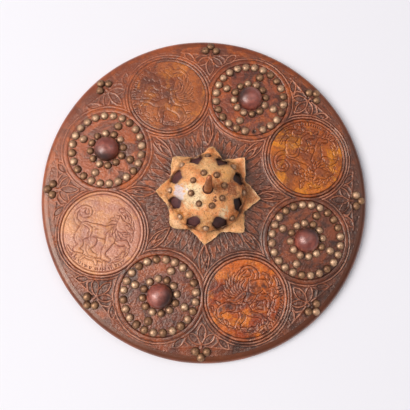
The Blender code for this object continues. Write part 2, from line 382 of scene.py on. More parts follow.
def hideFinish(name, look):  # stained, antiqued and rubbed leather, with painted shade towards its lower and right edges; the carving's attributes say where
    f = Finish(name, 0.4)
    f.paint(1, look["base"])
    f.paint(f.spread(f.noise(look["patches"], 5, 0.6, 1.0), 0.42, 0.58), look["warm"])
    f.paint(f.spread(f.noise(30, 4, 0.65, 0.8), 0.5, 0.6, 0, look["orangeShare"]), look["orange"])
    f.paint(f.spread(f.noise(26, 5, 0.65, 1.2), 0.5, 0.62, 0, look["blotches"]), look["deep"])
    if look["shade"]:  # painted shade: the hide is painted greyer and browner towards its lower and right edges, away from the key light
        south = f.maths("ADD", f.part(1), f.times(f.part(0), -0.35))
        f.paint(f.spread(south, 0.16, -0.2, 0, look["shade"]), look["southShade"])
        f.paint(f.spread(f.part(0), 0.02, 0.25, 0, 0.8 * look["shade"]), look["eastShade"])
    ground = f.times(f.attribute("matted"), f.spread(f.noise(90, 3, 0.6), 0.3, 0.6, 0.6, 1.0))
    stipple = f.mix(
        f.spread(f.noise(300, 4, 0.75), 0.4, 0.62), rgb(*look["ground"]), rgb(*look["groundPale"]))
    warmer = f.spread(f.noise(46, 4, 0.6), 0.5, 0.62, 0, 0.65)
    f.paint(ground, f.mix(warmer, stipple, rgb(*look["groundWarm"])))
    wear = f.attribute("wear")
    worn = f.spread(f.noise(48, 4, 0.6), 0.36, 0.6, 0.25, 1.0)
    f.paint(f.times(f.attribute("rubbed"), worn), look["rubbed"])
    f.paint(f.spread(f.noise(120, 4, 0.7, 0.5), 0.48, 0.62, 0, look["mottle"]), look["deep"])
    edging = f.mix(
        f.spread(f.noise(55, 4, 0.6), 0.4, 0.6), rgb(*hideLook["deep"]), rgb(*hideLook["warm"]))
    f.paint(f.times(f.attribute("border"), 0.85), edging)
    f.paint(f.times(f.spread(wear, 0.1, 0.8, 0, look["paleShare"]), worn), look["pale"])
    f.paint(f.spread(wear, -0.1, -0.8, 0, 0.8), look["cut"])
    # the grime layer: real dirt and antique dye, with painted shade round the boss, round each tack and under
    # the rolled edge
    dirt = f.spread(f.noise(130, 4, 0.7), 0.35, 0.6, 0.55, 1.0)
    f.paint(f.times(f.attribute("grimeAndShade"), dirt), look["grimeAndShade"])
    f.paint(f.times(f.attribute("faded"), look["fade"]), look["faded"])
    f.paint(f.spread(f.noise(430, 4, 0.8), 0.47, 0.7, 0, look["flecks"]), look["deep"])
    gloss = f.spread(f.noise(34, 4, 0.6), 0.3, 0.7, look["gloss"], look["gloss"] + 0.1)
    f.set("Roughness", f.maths("ADD", gloss, f.times(ground, 0.08)))
    pores = f.bump(f.noise(900, 3, 0.7), 0.0004, look["grain"])
    f.bump(f.noise(230, 5, 0.7, 0.5), 0.0014, look["grain"], pores)
    f.set("Specular IOR Level", 0.85)
    f.set("Specular Tint", (1.0, 0.87, 0.76, 1.0))
    return f.material


# the tooling, drawn on a flat board in millimetres seen from above; further down it is pressed
# into the hide

tooling = {
    "cell": 0.35,  # between the board's points
    "points": 1400,
    "roundelCircle": 167.0,
    "roundelReach": 71.2,  # the outermost line round each roundel
    "groundDepth": 0.75,
    "strength": 1.35,
    "wearWidth": 1.1,
    "bandInner": 228.5,  # the stippled band inside the rolled edge
    "bandOuter": 240.0,
    "bareAt": 246,  # degrees, the stretch of the band that is rubbed smooth
}
reach = tooling["cell"] * (tooling["points"] - 1) / 2
layers = {
    name: np.zeros((tooling["points"], tooling["points"]), np.float32)
    for name in ("form", "cut", "matted", "rubbed", "grimeAndShade")
}


def patch(points, margin):  # the board's slices and coordinates round some points
    across = [p[0] for p in points]
    up = [p[1] for p in points]
    cell, count = tooling["cell"], tooling["points"]
    spans = []
    for low, high in ((min(up), max(up)), (min(across), max(across))):
        first = max(0, int((low - margin + reach) / cell))
        last = min(count, int((high + margin + reach) / cell) + 2)
        spans.append(slice(first, max(last, first + 1)))
    x, y = np.meshgrid(
        -reach + cell * np.arange(spans[1].start, spans[1].stop),
        -reach + cell * np.arange(spans[0].start, spans[0].stop))
    return tuple(spans), x, y


def wholeBoard():
    return patch(((-reach, -reach), (reach, reach)), 0)[1:]


def blurFilter(size):
    count = tooling["points"]
    up, across = np.fft.fftfreq(count)[:, None], np.fft.rfftfreq(count)[None, :]
    return np.exp(-2 * (math.pi * size / tooling["cell"]) ** 2 * (up**2 + across**2))


def blurred(field, size):
    smooth = np.fft.irfft2(np.fft.rfft2(field) * blurFilter(size), field.shape)
    return smooth.astype(np.float32)


def cloud(size):  # soft random field over the whole board, spots about this big
    count = tooling["points"]
    wave = np.fft.rfft2(dice.standard_normal((count, count)))
    field = np.fft.irfft2(wave * blurFilter(size), (count, count))
    return (field / field.std()).astype(np.float32)


def uneven(where, middle, swing):  # between 0 and 1, from the board's own wobble
    return np.clip(middle + swing * layers["wobble"][where], 0, 1)


def raiseTo(name, where, values):
    layers[name][where] = np.maximum(layers[name][where], values)


def lowerTo(name, where, values):
    layers[name][where] = np.minimum(layers[name][where], values)


def smoothPath(points, steps=6):  # a smooth curve through the points
    def between(p, q, r, s, t):
        return 0.5 * (2 * q + (r - p) * t + (2 * p - 5 * q + 4 * r - s) * t**2
                      + (3 * q - p - 3 * r + s) * t**3)

    ends = [points[0]] + list(points) + [points[-1]]
    path = []
    for corners in zip(ends, ends[1:], ends[2:], ends[3:]):
        for i in range(steps):
            path.append(tuple(between(*numbers, i / steps) for numbers in zip(*corners)))
    return path + [tuple(points[-1])]


def strokeGap(x, y, path):  # distance to a stroke; the path's third number is its half width there
    gap = np.full(x.shape, 1e3)
    for a, b in zip(path, path[1:]):
        alongX, alongY = b[0] - a[0], b[1] - a[1]
        share = ((x - a[0]) * alongX + (y - a[1]) * alongY) / (alongX**2 + alongY**2 + 1e-9)
        share = np.clip(share, 0, 1)
        away = np.hypot(x - a[0] - share * alongX, y - a[1] - share * alongY)
        gap = np.minimum(gap, away - (a[2] + share * (b[2] - a[2])))
    return gap


def incise(points, width=0.55, depth=0.6, dark=0.0):  # a cut line with slightly raised lips
    path = smoothPath([(p[0], p[1], 0.0) for p in points])
    where, x, y = patch(points, 4 * width + 1)
    gap = strokeGap(x, y, path)
    lowerTo("cut", where, -depth * hump(gap, width))
    raiseTo("form", where, 0.18 * depth * hump(gap - 2 * width, width))
    if dark:
        raiseTo("grimeAndShade", where, dark * hump(gap, width))


def bead(points, width=0.8, height=0.5, rub=0.5):  # a raised, worn line
    path = smoothPath([(p[0], p[1], 0.0) for p in points])
    where, x, y = patch(points, 4 * width)
    ridge = hump(strokeGap(x, y, path), width)
    raiseTo("form", where, height * ridge - 2 * (ridge < 0.05))
    raiseTo("rubbed", where, rub * ridge)
    layers["matted"][where] *= 1 - 0.9 * ridge


def leafGap(x, y, base, tip, halfWidth):  # positive inside a pointed oval from base to tip
    length = math.hypot(tip[0] - base[0], tip[1] - base[1])
    alongX, alongY = (tip[0] - base[0]) / length, (tip[1] - base[1]) / length
    along = (x - base[0]) * alongX + (y - base[1]) * alongY - length / 2
    across = np.abs((y - base[1]) * alongX - (x - base[0]) * alongY)
    bow = (length**2 / 4 + halfWidth**2) / (2 * halfWidth)
    return bow - np.hypot(along, across + bow - halfWidth)


def outlinedLeaf(base, tip, halfWidth, line=0.8, height=0.55, rub=0.6, inside=1.0):
    where, x, y = patch((base, tip), halfWidth + 3)
    gap = leafGap(x, y, base, tip, halfWidth) + 0.25 * layers["wobble"][where]
    ridge = hump(gap, line)
    inner = np.clip(gap / line - 0.6, 0, 1)
    layers["form"][where] = np.where(
        gap > 0, -tooling["groundDepth"] * inner * inside, layers["form"][where])
    layers["matted"][where] = np.where(gap > 0, inner * inside, layers["matted"][where]) * (1 - 0.95 * ridge)
    raiseTo("form", where, np.where(ridge > 0.05, height * ridge - 0.3 * (1 - ridge), -9))
    raiseTo("rubbed", where, rub * ridge)
    lowerTo("cut", where, -0.55 * hump(gap - 2.0 * line, 0.7 * line) * (gap > 0))


def solidLeaf(base, tip, halfWidth, rub=0.35):  # a low smooth leaf, its dye worn towards the tip
    where, x, y = patch((base, tip), halfWidth + 3)
    wobble = layers["wobble"][where]
    gap = leafGap(x, y, base, tip, halfWidth) + 0.4 * wobble
    length = math.hypot(tip[0] - base[0], tip[1] - base[1])
    share = ((x - base[0]) * (tip[0] - base[0]) + (y - base[1]) * (tip[1] - base[1])) / length**2
    bare = ramp(share - 0.45 + 0.15 * wobble, 0, 0.2)
    body = np.clip(gap / 1.2 - 0.2, 0, 1)
    edge = hump(gap - 0.3, 0.5)
    layers["form"][where] += body * 0.25 + 0.8 * edge
    layers["matted"][where] *= 1 - np.clip(body * bare * 0.95 + 0.9 * edge, 0, 1)
    raiseTo("rubbed", where, rub * bare * body)
    lowerTo("cut", where, -0.35 * hump(gap + 0.9, 0.6))


roundels = []
for k in range(8):
    roundels.append({
        "kind": "ring" if k % 2 else "medallion",
        "angle": 22.5 + 45 * k,
        "centre": polar(tooling["roundelCircle"], 22.5 + 45 * k),
    })
medallions, rings = roundels[::2], roundels[1::2]
borders = {  # circles round each roundel: radius, half width, then depth or height and how worn
    "medallion": {
        "seam": 62.9,
        "grooves": ((58.0, 0.65, 0.8), (62.9, 0.6, 0.75), (67.3, 0.55, 0.6), (71.0, 0.6, 0.55)),
        "beads": ((60.5, 1.6, 0.5, 0.25), (65.1, 1.5, 0.45, 0.25), (69.2, 1.1, 0.6, 0.6)),
    },
    "ring": {
        "seam": 59.8,
        "grooves": ((59.8, 0.6, 0.7), (67.1, 0.5, 0.5), (70.8, 0.6, 0.55)),
        "beads": ((63.3, 2.8, 0.65, 0.4), (68.9, 1.1, 0.5, 0.4)),
    },
}


def layGround():  # matted ground between the roundels, and the stippled band
    x, y = wholeBoard()
    radius, turn = np.hypot(x, y), np.degrees(np.arctan2(y, x)) % 360
    nearest = np.full(x.shape, 1e3)
    for r in roundels:
        nearest = np.minimum(nearest, np.hypot(x - r["centre"][0], y - r["centre"][1]))
    inner, outer = tooling["bandInner"], tooling["bandOuter"]
    outside = ramp(nearest, tooling["roundelReach"], 1.2) * ramp(radius, inner, -1.0)
    smooth = np.clip(1.6 - np.abs(turn - tooling["bareAt"]) / 24, 0, 1) * ramp(radius, 205, 20)
    band = ramp(radius, inner, 1.5) * ramp(radius, outer, -1.5) * (1 - 0.9 * smooth)
    layers["matted"][:] = np.maximum(outside, np.clip(0.62 + 0.25 * cloud(7.0), 0, 1) * band)
    layers["form"][:] = np.minimum(-tooling["groundDepth"] * outside, -0.3 * band)
    layers["rubbed"][:] = 0.55 * smooth * ramp(radius, 222, 6)
    # dirt and painted shade: the ground darkened in a ring round the boss, under the star's raised points
    layers["grimeAndShade"][:] = 0.6 * ramp(radius, 96, -26) * uneven(slice(None), 0.6, 0.4)
    layers["smooth"] = smooth.astype(np.float32)
    layers["nearest"] = nearest.astype(np.float32)


def drawBorder(roundel):
    border, centre = borders[roundel["kind"]], roundel["centre"]
    where, x, y = patch((centre,), 74)
    radius = np.hypot(x - centre[0], y - centre[1])
    owned = radius <= layers["nearest"][where] + 0.01
    radius = radius + 0.12 * layers["wobble"][where]
    for at, width, depth in border["grooves"]:
        press = hump(radius - at, width) * owned
        lowerTo("cut", where, -depth * press)
        raiseTo("grimeAndShade", where, 0.22 * press)
    for at, width, height, rub in border["beads"]:
        ridge = np.clip(1 - ((radius - at) / width) ** 2, 0, 1) ** 0.5 * owned
        raiseTo("form", where, np.where(ridge > 0, height * ridge, -9))
        raiseTo("rubbed", where, rub * ridge * (0.6 + 0.4 * np.clip(layers["wobble"][where], -1, 1)))
        layers["matted"][where] *= 1 - np.clip(2 * ridge, 0, 1)


def drawPalmette(angle):  # fills the gap between two roundels and the rim
    def at(aside, radius):
        return turned(radius, aside, math.radians(angle))

    for side in (-1, 1):
        outlinedLeaf(at(side * 41, 228.5), at(side * 25, 213.5), 5.0)
        outlinedLeaf(at(side * 1.2, 222.5), at(side * 20.0, 207.5), 5.2)
        for stem, width, height, rub in (
                (((15, 226.2), (23.5, 219.5), (22.0, 212.0)), 0.85, 0.5, 0.6),
                (((46, 229.0), (20, 227.0), (6, 225.5)), 0.8, 0.5, 0.55),
                (((27, 212.0), (22.5, 202.5), (14.5, 196.5)), 0.7, 0.4, 0.5)):
            bead([at(side * aside, radius) for aside, radius in stem], width, height, rub)
    outlinedLeaf(at(0, 221.5), at(0, 192.5), 6.0)
    bead([at(0, 228.5), at(0, 221)], 1.0, 0.5, 0.6)


def drawLotus(angle):  # one eighth of the leafy field round the boss
    def at(turn, radius):
        return polar(radius, angle + turn)

    for side in (-1, 1):
        for turn, high, wide in ((22.5, 94.0, 4.8), (15.4, 93.0, 3.4), (8.8, 103.0, 4.4)):
            if turn == 22.5 and side == -1:  # its neighbour draws this one
                continue
            bend = 1.6 * dice.normal()
            solidLeaf(at(side * turn + bend, 52), at(side * turn, high - dice.uniform(0, 3)), wide)
    outlinedLeaf(at(0, 76), at(0, 124.5), 7.4, 0.8, 0.6, 0.5, 0.8)
    outlinedLeaf(at(0, 76), at(0, 107), 3.6, 0.7, 0.55, 0.45, 1.0)
    solidLeaf(at(0, 100), at(0, 121), 2.8, 0.6)


hatching = {"strokes": 330, "inner": 19.0, "outer": 49.5}


def drawHatching(centre):  # the feathery strokes inside a studded ring
    for _ in range(hatching["strokes"]):
        distance = math.sqrt(dice.uniform(hatching["inner"] ** 2, hatching["outer"] ** 2))
        turn = dice.uniform(0, 360)
        start = polar(distance, turn, centre)
        heading = turn + 40 + 70 * math.sin(math.radians(3 * turn + distance * 5)) + dice.normal(0, 12)
        length = dice.uniform(4.5, 10)
        middle = polar(length / 2, heading, start)
        end = polar(length / 2, heading + dice.uniform(25, 60), middle)
        incise([start, middle, end], 0.5, dice.uniform(0.2, 0.55), dice.uniform(0.05, 0.3))


inscription = {"at": 55.0, "strokes": 25, "half": 52}  # degrees from a medallion's own direction


def drawInscription(roundel):  # a row of plain strokes, no letters
    centre, first = roundel["centre"], roundel["angle"] + inscription["at"] - inscription["half"]
    for i in range(inscription["strokes"]):
        turn = first + 2 * inscription["half"] * i / (inscription["strokes"] - 1) + dice.normal(0, 0.5)
        low, high = 51.8 + dice.uniform(0, 0.8), 56.2 - dice.uniform(0, 1.4) * (i % 3 == 0)
        lean = dice.normal(0, 1.4)
        incise([polar(low, turn, centre), polar(high, turn + lean, centre)], 0.62, 0.95, 0.85)
        if i % 3 == 1:
            incise([polar(low + 1.6, turn, centre), polar(low + 1.8, turn + 1.9, centre)], 0.55, 0.8, 0.7)


# strokes of x, y and half width, upright and facing right, each list laid over those before it
figures = {
    "lion": [
        [[(-15, -4, 8.0), (-8, -15, 5.4), (-12, -25, 3.7), (-7, -32, 3.2)], [(-7, -33, 3.3), (2, -34, 2.4)]],
        [[(20, 2, 7.0), (31, -5, 5.0), (39, -3, 3.4)], [(39, -3, 3.7), (45, -8, 2.4)]],
        [[(-32, 3, 3.4), (-42, 8, 2.7), (-46, 19, 2.3), (-39, 30, 2.3), (-28, 31, 2.3), (-25, 22, 2.1),
          (-32, 18, 2.0)],
         [(-32, 18, 2.4), (-38, 23, 4.2), (-34, 29, 0.7)]],
        [[(-24, 0, 10.8), (-10, 2, 9.4), (6, 3, 9.8), (19, 7, 12.4)]],
        [[(-24, -3, 10.8), (-31, -15, 6.6), (-25, -24, 4.1), (-30, -32, 3.4)],
         [(-30, -33, 3.5), (-20, -34.5, 2.5)]],
        [[(16, 0, 8.2), (15, -13, 5.4), (12, -24, 3.8), (14, -32, 3.3)], [(14, -33, 3.6), (23, -34.5, 2.5)]],
    ],
    "griffin": [
        [[(-14, -8, 8.0), (-8, -19, 5.2), (-12, -27, 3.4), (-7, -33, 2.9)],
         [(-7, -34, 3.1), (2, -34.5, 2.2)]],
        [[(12, 5, 7.0), (27, -2, 4.4), (38, 2, 3.1)], [(38, 2, 3.2), (44, -2, 1.6)],
         [(38, 3, 2.4), (45, 4, 1.2)]],
        [[(-28, -6, 3.2), (-40, -4, 2.6), (-46, 7, 2.2), (-40, 18, 2.0), (-32, 14, 1.9)],
         [(-32, 14, 2.3), (-37, 8, 3.6), (-41, 12, 0.7)]],
        [[(-20, -6, 10.4), (-4, -2, 9.4), (10, 6, 10.2), (17, 18, 7.8)]],
        [[(-20, -8, 10.4), (-28, -18, 6.2), (-20, -26, 4.0), (-25, -33, 3.1)],
         [(-25, -34, 3.4), (-16, -35, 2.3)]],
        [[(12, 0, 6.8), (19, -12, 4.4), (18, -24, 3.1), (20, -32, 2.6)],
         [(20, -32, 2.6), (28, -34, 1.3)], [(20, -32, 2.6), (21, -37, 1.3)]],
        [[(17, 19, 7.4), (21, 27, 6.2), (26, 32, 5.8)], [(29, 33, 4.2), (36, 31, 2.4), (37, 26, 0.9)],
         [(19, 37, 2.2), (16, 43, 0.7)]],
    ],
}
sprays = {  # stems that fill the field round each beast, with their number of leaves
    "lion": [
        ([(46, 2), (46, 14), (42, 25), (33, 37), (20, 45)], 8), ([(32, -30), (43, -22), (48, -12)], 4),
        ([(-18, 17), (-9, 26), (2, 28), (6, 36), (1, 45)], 7), ([(-45, -8), (-43, -19), (-37, -28)], 4),
        ([(-9, -24), (-3, -17), (5, -16)], 3)],
    "griffin": [
        ([(30, -28), (42, -22), (47, -10)], 4), ([(46, 8), (44, 22), (38, 36), (26, 45)], 7),
        ([(-44, -13), (-42, -22), (-36, -30)], 4), ([(-6, -24), (2, -17), (8, -22)], 3)],
}
bank = [(-43, -32, 1.3), (-34, -38.5, 1.5), (-20, -38, 1.4), (-6, -40.5, 1.5), (10, -38, 1.4),
        (24, -40, 1.4), (36, -35, 1.3), (43, -27, 1.1), (38, -23, 1.0), (35, -28, 0.9)]
tufts = ((-28, -39, -120), (-14, -39, 230), (2, -39.5, -50), (17, -39, -70), (30, -38, -40))
figureSetup = {
    "turn": 142.5,  # degrees from a medallion's own direction to the beast's ground line
    "leafReach": 51.5, "wingReach": 50.5, "nickReach": 51,  # how far from the middle each may go
}
palest = 202.5
printing = {  # each medallion's depth of cut, how dark its beast and strokes are, its number of nicks
    palest: {"bold": 0.5, "dusk": 0.16, "nicks": 60},
    292.5: {"bold": 0.75, "dusk": 0.95, "band": 1.0, "nicks": 220},
    22.5: {"bold": 0.65, "dusk": 0.5, "band": 0.6, "nicks": 190},
    112.5: {"bold": 0.5, "dusk": 0.6, "band": 0.95, "nicks": 190},
}


def drawFigure(roundel, kind, side):  # a beast with curled tail among leafy stems
    turn, centre = math.radians(roundel["angle"] + figureSetup["turn"]), roundel["centre"]
    bold, dusk = printing[roundel["angle"]]["bold"], printing[roundel["angle"]]["dusk"]
    plain = roundel["angle"] == palest  # it is also the plainest

    def place(points):
        return [turned(side * p[0], p[1] - 1, turn, centre) + tuple(p[2:]) for p in points]

    def slit(points, width=0.55, depth=0.8, dark=0.8):
        incise(place(points), width, depth, dark)

    def lay(strokes, height=0.85):  # rounded bodies with a cut outline
        placed = [smoothPath(place(stroke)) for stroke in strokes]
        where, x, y = patch([p for path in placed for p in path], 22)
        gap = np.full(x.shape, 1e3)
        for path in placed:
            gap = np.minimum(gap, strokeGap(x, y, path))
        gap = gap + 0.18 * layers["wobble"][where]
        inside = np.clip(-gap / 3.2, 0, 1)
        for name in ("cut", "grimeAndShade"):
            layers[name][where] = np.where(gap < 0.4, 0, layers[name][where])
        layers["form"][where] = np.where(
            gap < 0, height * (0.4 + 0.6 * bold) * np.sqrt(inside * (2 - inside)), layers["form"][where])
        line = hump(gap - 0.45, 0.55)
        lowerTo("cut", where, -1.15 * bold * line)
        raiseTo("grimeAndShade", where, 0.75 * bold * line)
        raiseTo("grimeAndShade", where, dusk * inside * uneven(where, 0.75, 0.35))
        hollow = hump(np.clip(gap, 0, 9), 2.8) * (gap > 0)
        layers["form"][where] -= 0.4 * bold * hollow
        raiseTo("grimeAndShade", where, 0.3 * bold * hollow)

    def spray(stem, leaves):  # a stem with leaves to both sides
        lay([[p + (1.1,) for p in stem]], 0.5)
        curve = smoothPath(stem, 8)
        for i in range(leaves):
            k = int((i + 0.6) / leaves * (len(curve) - 2))
            start, after = curve[k], curve[k + 1]
            ahead = math.degrees(math.atan2(after[1] - start[1], after[0] - start[0]))
            out = 1 if i % 2 else -1
            lean = ahead + 48 * out
            middle, tip = polar(4.2, lean, start), polar(8.4, lean - 14 * out, start)
            if math.hypot(tip[0], tip[1] - 1) < figureSetup["leafReach"]:
                lay([[start + (0.8,), middle + (2.5,), tip + (0.5,)]], 0.5)
                slit([start, middle], 0.4, 0.5, 0.4)

    def fur(stroke, count, length=5.0):  # short cuts along the body
        for _ in range(count):
            i = dice.integers(len(stroke) - 1)
            a, b = stroke[i], stroke[i + 1]
            share, off = dice.uniform(0, 1), dice.uniform(-0.72, 0.72)
            heading = math.atan2(b[1] - a[1], b[0] - a[0])
            wide = off * (a[2] + share * (b[2] - a[2]))
            x = a[0] + share * (b[0] - a[0]) - wide * math.sin(heading)
            y = a[1] + share * (b[1] - a[1]) + wide * math.cos(heading)
            way = math.degrees(heading) + 180 + dice.normal(0, 16)
            middle = polar(length / 2, way, (x, y))
            end = polar(length / 2, way + 28, middle)
            slit([(x, y), middle, end], 0.42, dice.uniform(0.4, 0.7), 0.4)

    def lionHead(middle=(25, 17)):  # the mane, its outer locks first, then the face
        for distance, count, tuft in ((12, 13, 3.0), (7, 10, 2.8)):
            for i in range(count):
                a = -165 + 330 * i / count + distance
                lock = ((distance - 4, a, tuft), (distance + 1.5, a + 12, tuft * 0.85),
                        (distance + 7, a + 30, 0.6))
                lay([[polar(away, at, middle) + (half,) for away, at, half in lock]], 0.8)
        lay([[(26, 18.5, 8.4), (34, 19, 6.4)], [(35, 17.5, 5.2), (42, 14.5, 3.3)],
             [(22, 26, 3.0), (20, 31.5, 1.2)]], 1.0)
        slit([(43.5, 12.4), (38, 12.6), (35.2, 14.8)])
        slit([(31.5, 21.6), (33.8, 22.8), (36.0, 21.4)])
        slit([(38.0, 18.0), (41.5, 17.4)], 0.5, 0.6, 0.6)

    def griffinWing():  # the raised wing, long feathers first, then its shoulder, eye and breast
        for row, feathers, span in ((0, 8, 37.0), (1, 6, 23.0)):
            for i in range(feathers):
                a = 158 - 96 * i / (feathers - 1)
                out = span * (1 - 0.25 * i / feathers)
                root = (-6 + 14 * i / (feathers - 1), 7)
                mid, tip = polar(out * 0.6, a - 16, (-3, 7)), polar(out, a + 12, (-3, 7))
                if math.hypot(tip[0], tip[1] - 1) > figureSetup["wingReach"]:
                    tip = (tip[0] * 0.9, tip[1] * 0.9)
                lay([[root + (3.0,), mid + (3.3 - 0.4 * row,), tip + (0.8,)]], 0.65 + 0.15 * row)
                slit([root, mid], 0.4, 0.5, 0.4)
        lay([[(-6, 6, 3.8), (6, 14, 3.6), (9, 24, 2.8)]], 0.9)
        slit([(26.5, 34.5), (28.4, 35.4), (30, 34.2)])
        for i in range(5):
            slit([(8 + 2.2 * i, 13 - 3.2 * i), (12 + 2.2 * i, 10 - 3.0 * i), (17 + 1.9 * i, 11 - 3.0 * i)],
                 0.45, 0.6, 0.5)

    lay([bank], 0.55)
    for x, y, heading in tufts:
        tip = polar(8.0, heading, (x, y))
        lay([[(x, y, 1.2), ((x + tip[0]) / 2, (y + tip[1]) / 2, 2.3), tip + (0.5,)]], 0.45)
    for stem, leaves in sprays[kind][:2 if plain else 5]:
        spray(stem, leaves)
    for group in figures[kind]:
        lay(group)
        if kind == "lion" and len(group[0]) > 3 or kind == "griffin" and len(group) == 1:
            fur(group[0], (34 if len(group) == 1 else 12) // (2 if plain else 1))
    if kind == "lion":
        lionHead()
    else:
        griffinWing()
    slit([(-30, 5), (-19.5, 1.5), (-17.5, -9)], 0.55, 0.8, 0.6)  # the haunch
    for _ in range(printing[roundel["angle"]]["nicks"]):  # worn leafy cuts that no longer read as anything
        away, at = figureSetup["nickReach"] * math.sqrt(dice.uniform(0.02, 1)), dice.uniform(0, 360)
        x, y = polar(away, at)
        way = 40 * math.sin(x / 9) + 55 * math.sin(y / 11 + 1) + dice.normal(0, 25)
        middle = polar(dice.uniform(0.9, 2.4), way, (x, y))
        end = polar(dice.uniform(0.8, 2.2), way + dice.choice((-50, 50)), middle)
        slit([(x, y), middle, end], 0.42, dice.uniform(0.25, 0.6) * bold, 0.5 * bold)


ringStuds = {
    "rows": (("outer", 24, 53.6, 7.5), ("inner", 12, 25.3, 7.5), ("accent", 4, 40.0, 67.5)),
    "missing": "ring_1_outer_19",
}
blots = (  # degrees, distance and size in millimetres, how dark: inky ones, then broad dusky ones
    (226, 166, 7.5, 0.95), (61, 118, 6.0, 0.95), (283, 170, 5.0, 0.95),
    (298, 181, 13.0, 0.6), (289, 138, 9.0, 0.45), (118, 188, 25.0, 0.6))
tackPlaces = []  # name, x and y in millimetres on the face


def listRingTacks():
    for index, r in enumerate(rings):
        for row, count, radius, first in ringStuds["rows"]:
            for i in range(count):
                x, y = polar(radius, first + 360 * i / count, r["centre"])
                tackPlaces.append((f"ring_{index + 1}_{row}_{i + 1:02d}", x, y))


def shadeAndStainHide():  # a slight dent round each tack, darkened with dirt and a painted contact shadow, then blots
    spots = list(tackPlaces)
    for node in rimNodes:
        x, y, _ = middleOf(node)
        spots.append(("", x / mm, y / mm))
    for name, x, y in spots:
        where, across, up = patch(((x, y),), 14)
        away = np.hypot(across - x, up - y)
        # painted contact shadow and dirt: a dark patch round each tack
        strength = dice.uniform(0.4, 0.85)
        spread = hump(away, dice.uniform(7.0, 8.8), 4) * strength
        raiseTo("grimeAndShade", where, spread * (0.75 + 0.25 * np.clip(layers["wobble"][where], -1, 1)))
        layers["form"][where] -= 0.35 * hump(away, 6.5)
        if name == ringStuds["missing"]:  # its hole and the mark of its head
            lowerTo("cut", where, -1.9 * hump(away, 1.5, 4))
            raiseTo("grimeAndShade", where, hump(away, 5.2, 4) * 0.95)
    for angle, distance, size, dark in blots:
        x, y = polar(distance, angle)
        where, across, up = patch(((x, y),), 3 * size)
        away = np.hypot(across - x, up - y) + 1.2 * layers["wobble"][where]
        raiseTo("grimeAndShade", where, dark * hump(np.clip(away, 0, None), size))


def settleBoard():  # grain and handling wear over everything, and where it has rubbed
    x, y = wholeBoard()
    faded = np.clip((y - x - 60) / 300 + 0.08 * cloud(18.0), 0, 1)  # worn flatter towards the upper left
    soiled = ramp(x - y, 20, 240) * np.clip(0.3 + 0.6 * cloud(6.0), 0, 1)
    for r in medallions:
        away = np.hypot(x - r["centre"][0], y - r["centre"][1])
        soiled = soiled * np.clip((away - 60) / 6, 0.1, 1)
    soiled = soiled * (1 - 0.85 * layers["smooth"])
    flat = np.exp(-(((x + 12) / 44) ** 2) - (((y + 216) / 26) ** 2))  # the lowest leaves, nearly worn away
    layers["faded"] = faded.astype(np.float32)
    layers["matted"] *= 1 - 0.5 * faded
    layers["grimeAndShade"] = np.maximum(layers["grimeAndShade"] * (1 - 0.45 * faded), 0.75 * soiled)
    grain = 0.07 * cloud(0.8) + 0.2 * cloud(8.0)
    stipple = layers["matted"] * (0.12 * cloud(0.6) + 0.15 * cloud(1.2))
    relief = (layers["form"] + layers["cut"] + grain + stipple) * (1 - 0.55 * faded) * (1 - 0.5 * flat)
    wear = np.clip((relief - blurred(relief, tooling["wearWidth"])) / 0.38, -1, 1)
    layers["relief"] = blurred(relief, 0.32) * tooling["strength"]
    layers["wear"] = blurred(wear, 0.3)
    layers["rubbed"] = np.clip(layers["rubbed"] * (0.8 + 0.35 * cloud(5.0)), 0, 1)
    layers["grimeAndShade"] = np.clip(layers["grimeAndShade"], 0, 1)


layers["wobble"] = cloud(2.0)
layGround()
for r in roundels:
    drawBorder(r)
for k in range(8):
    drawPalmette(45 * k)
    drawLotus(45 * k)
print("borders and leaves drawn")
for r, kind, side in zip(medallions, ("lion", "griffin", "lion", "griffin"), (-1, 1, 1, -1)):
    drawInscription(r)
    drawFigure(r, kind, side)
for r in rings:
    drawHatching(r["centre"])
listRingTacks()
shadeAndStainHide()
settleBoard()
print("roundels drawn")


def boardAt(name, x, y):  # reads a layer at points in metres
    count, cell = tooling["points"], tooling["cell"]
    across = np.clip((x / mm + reach) / cell, 0, count - 1.001)
    up = np.clip((y / mm + reach) / cell, 0, count - 1.001)
    i, j = up.astype(int), across.astype(int)
    di, dj = up - i, across - j
    layer = layers[name]
    return ((layer[i, j] * (1 - dj) + layer[i, j + 1] * dj) * (1 - di)
            + (layer[i + 1, j] * (1 - dj) + layer[i + 1, j + 1] * dj) * di)


def pressHide(piece, wide=False):  # lifts a flat sheet onto the domed face with its tooling
    points = getPoints(piece)
    x, y = points[:, 0], points[:, 1]
    points[:, 2] = faceHeight(np.hypot(x, y)) + boardAt("relief", x, y) * mm
    setPoints(piece, points)
    if wide:
        lineBelow(piece, hideThickness, faceHeight)
    else:
        closeBelow(piece, hideThickness)
    x, y = getPoints(piece)[:, :2].T
    for name in ("wear", "matted", "rubbed", "grimeAndShade", "faded"):
        setAttribute(piece, name, boardAt(name, x, y))


# the tooled hide, meshed in pieces that meet in its cut circles

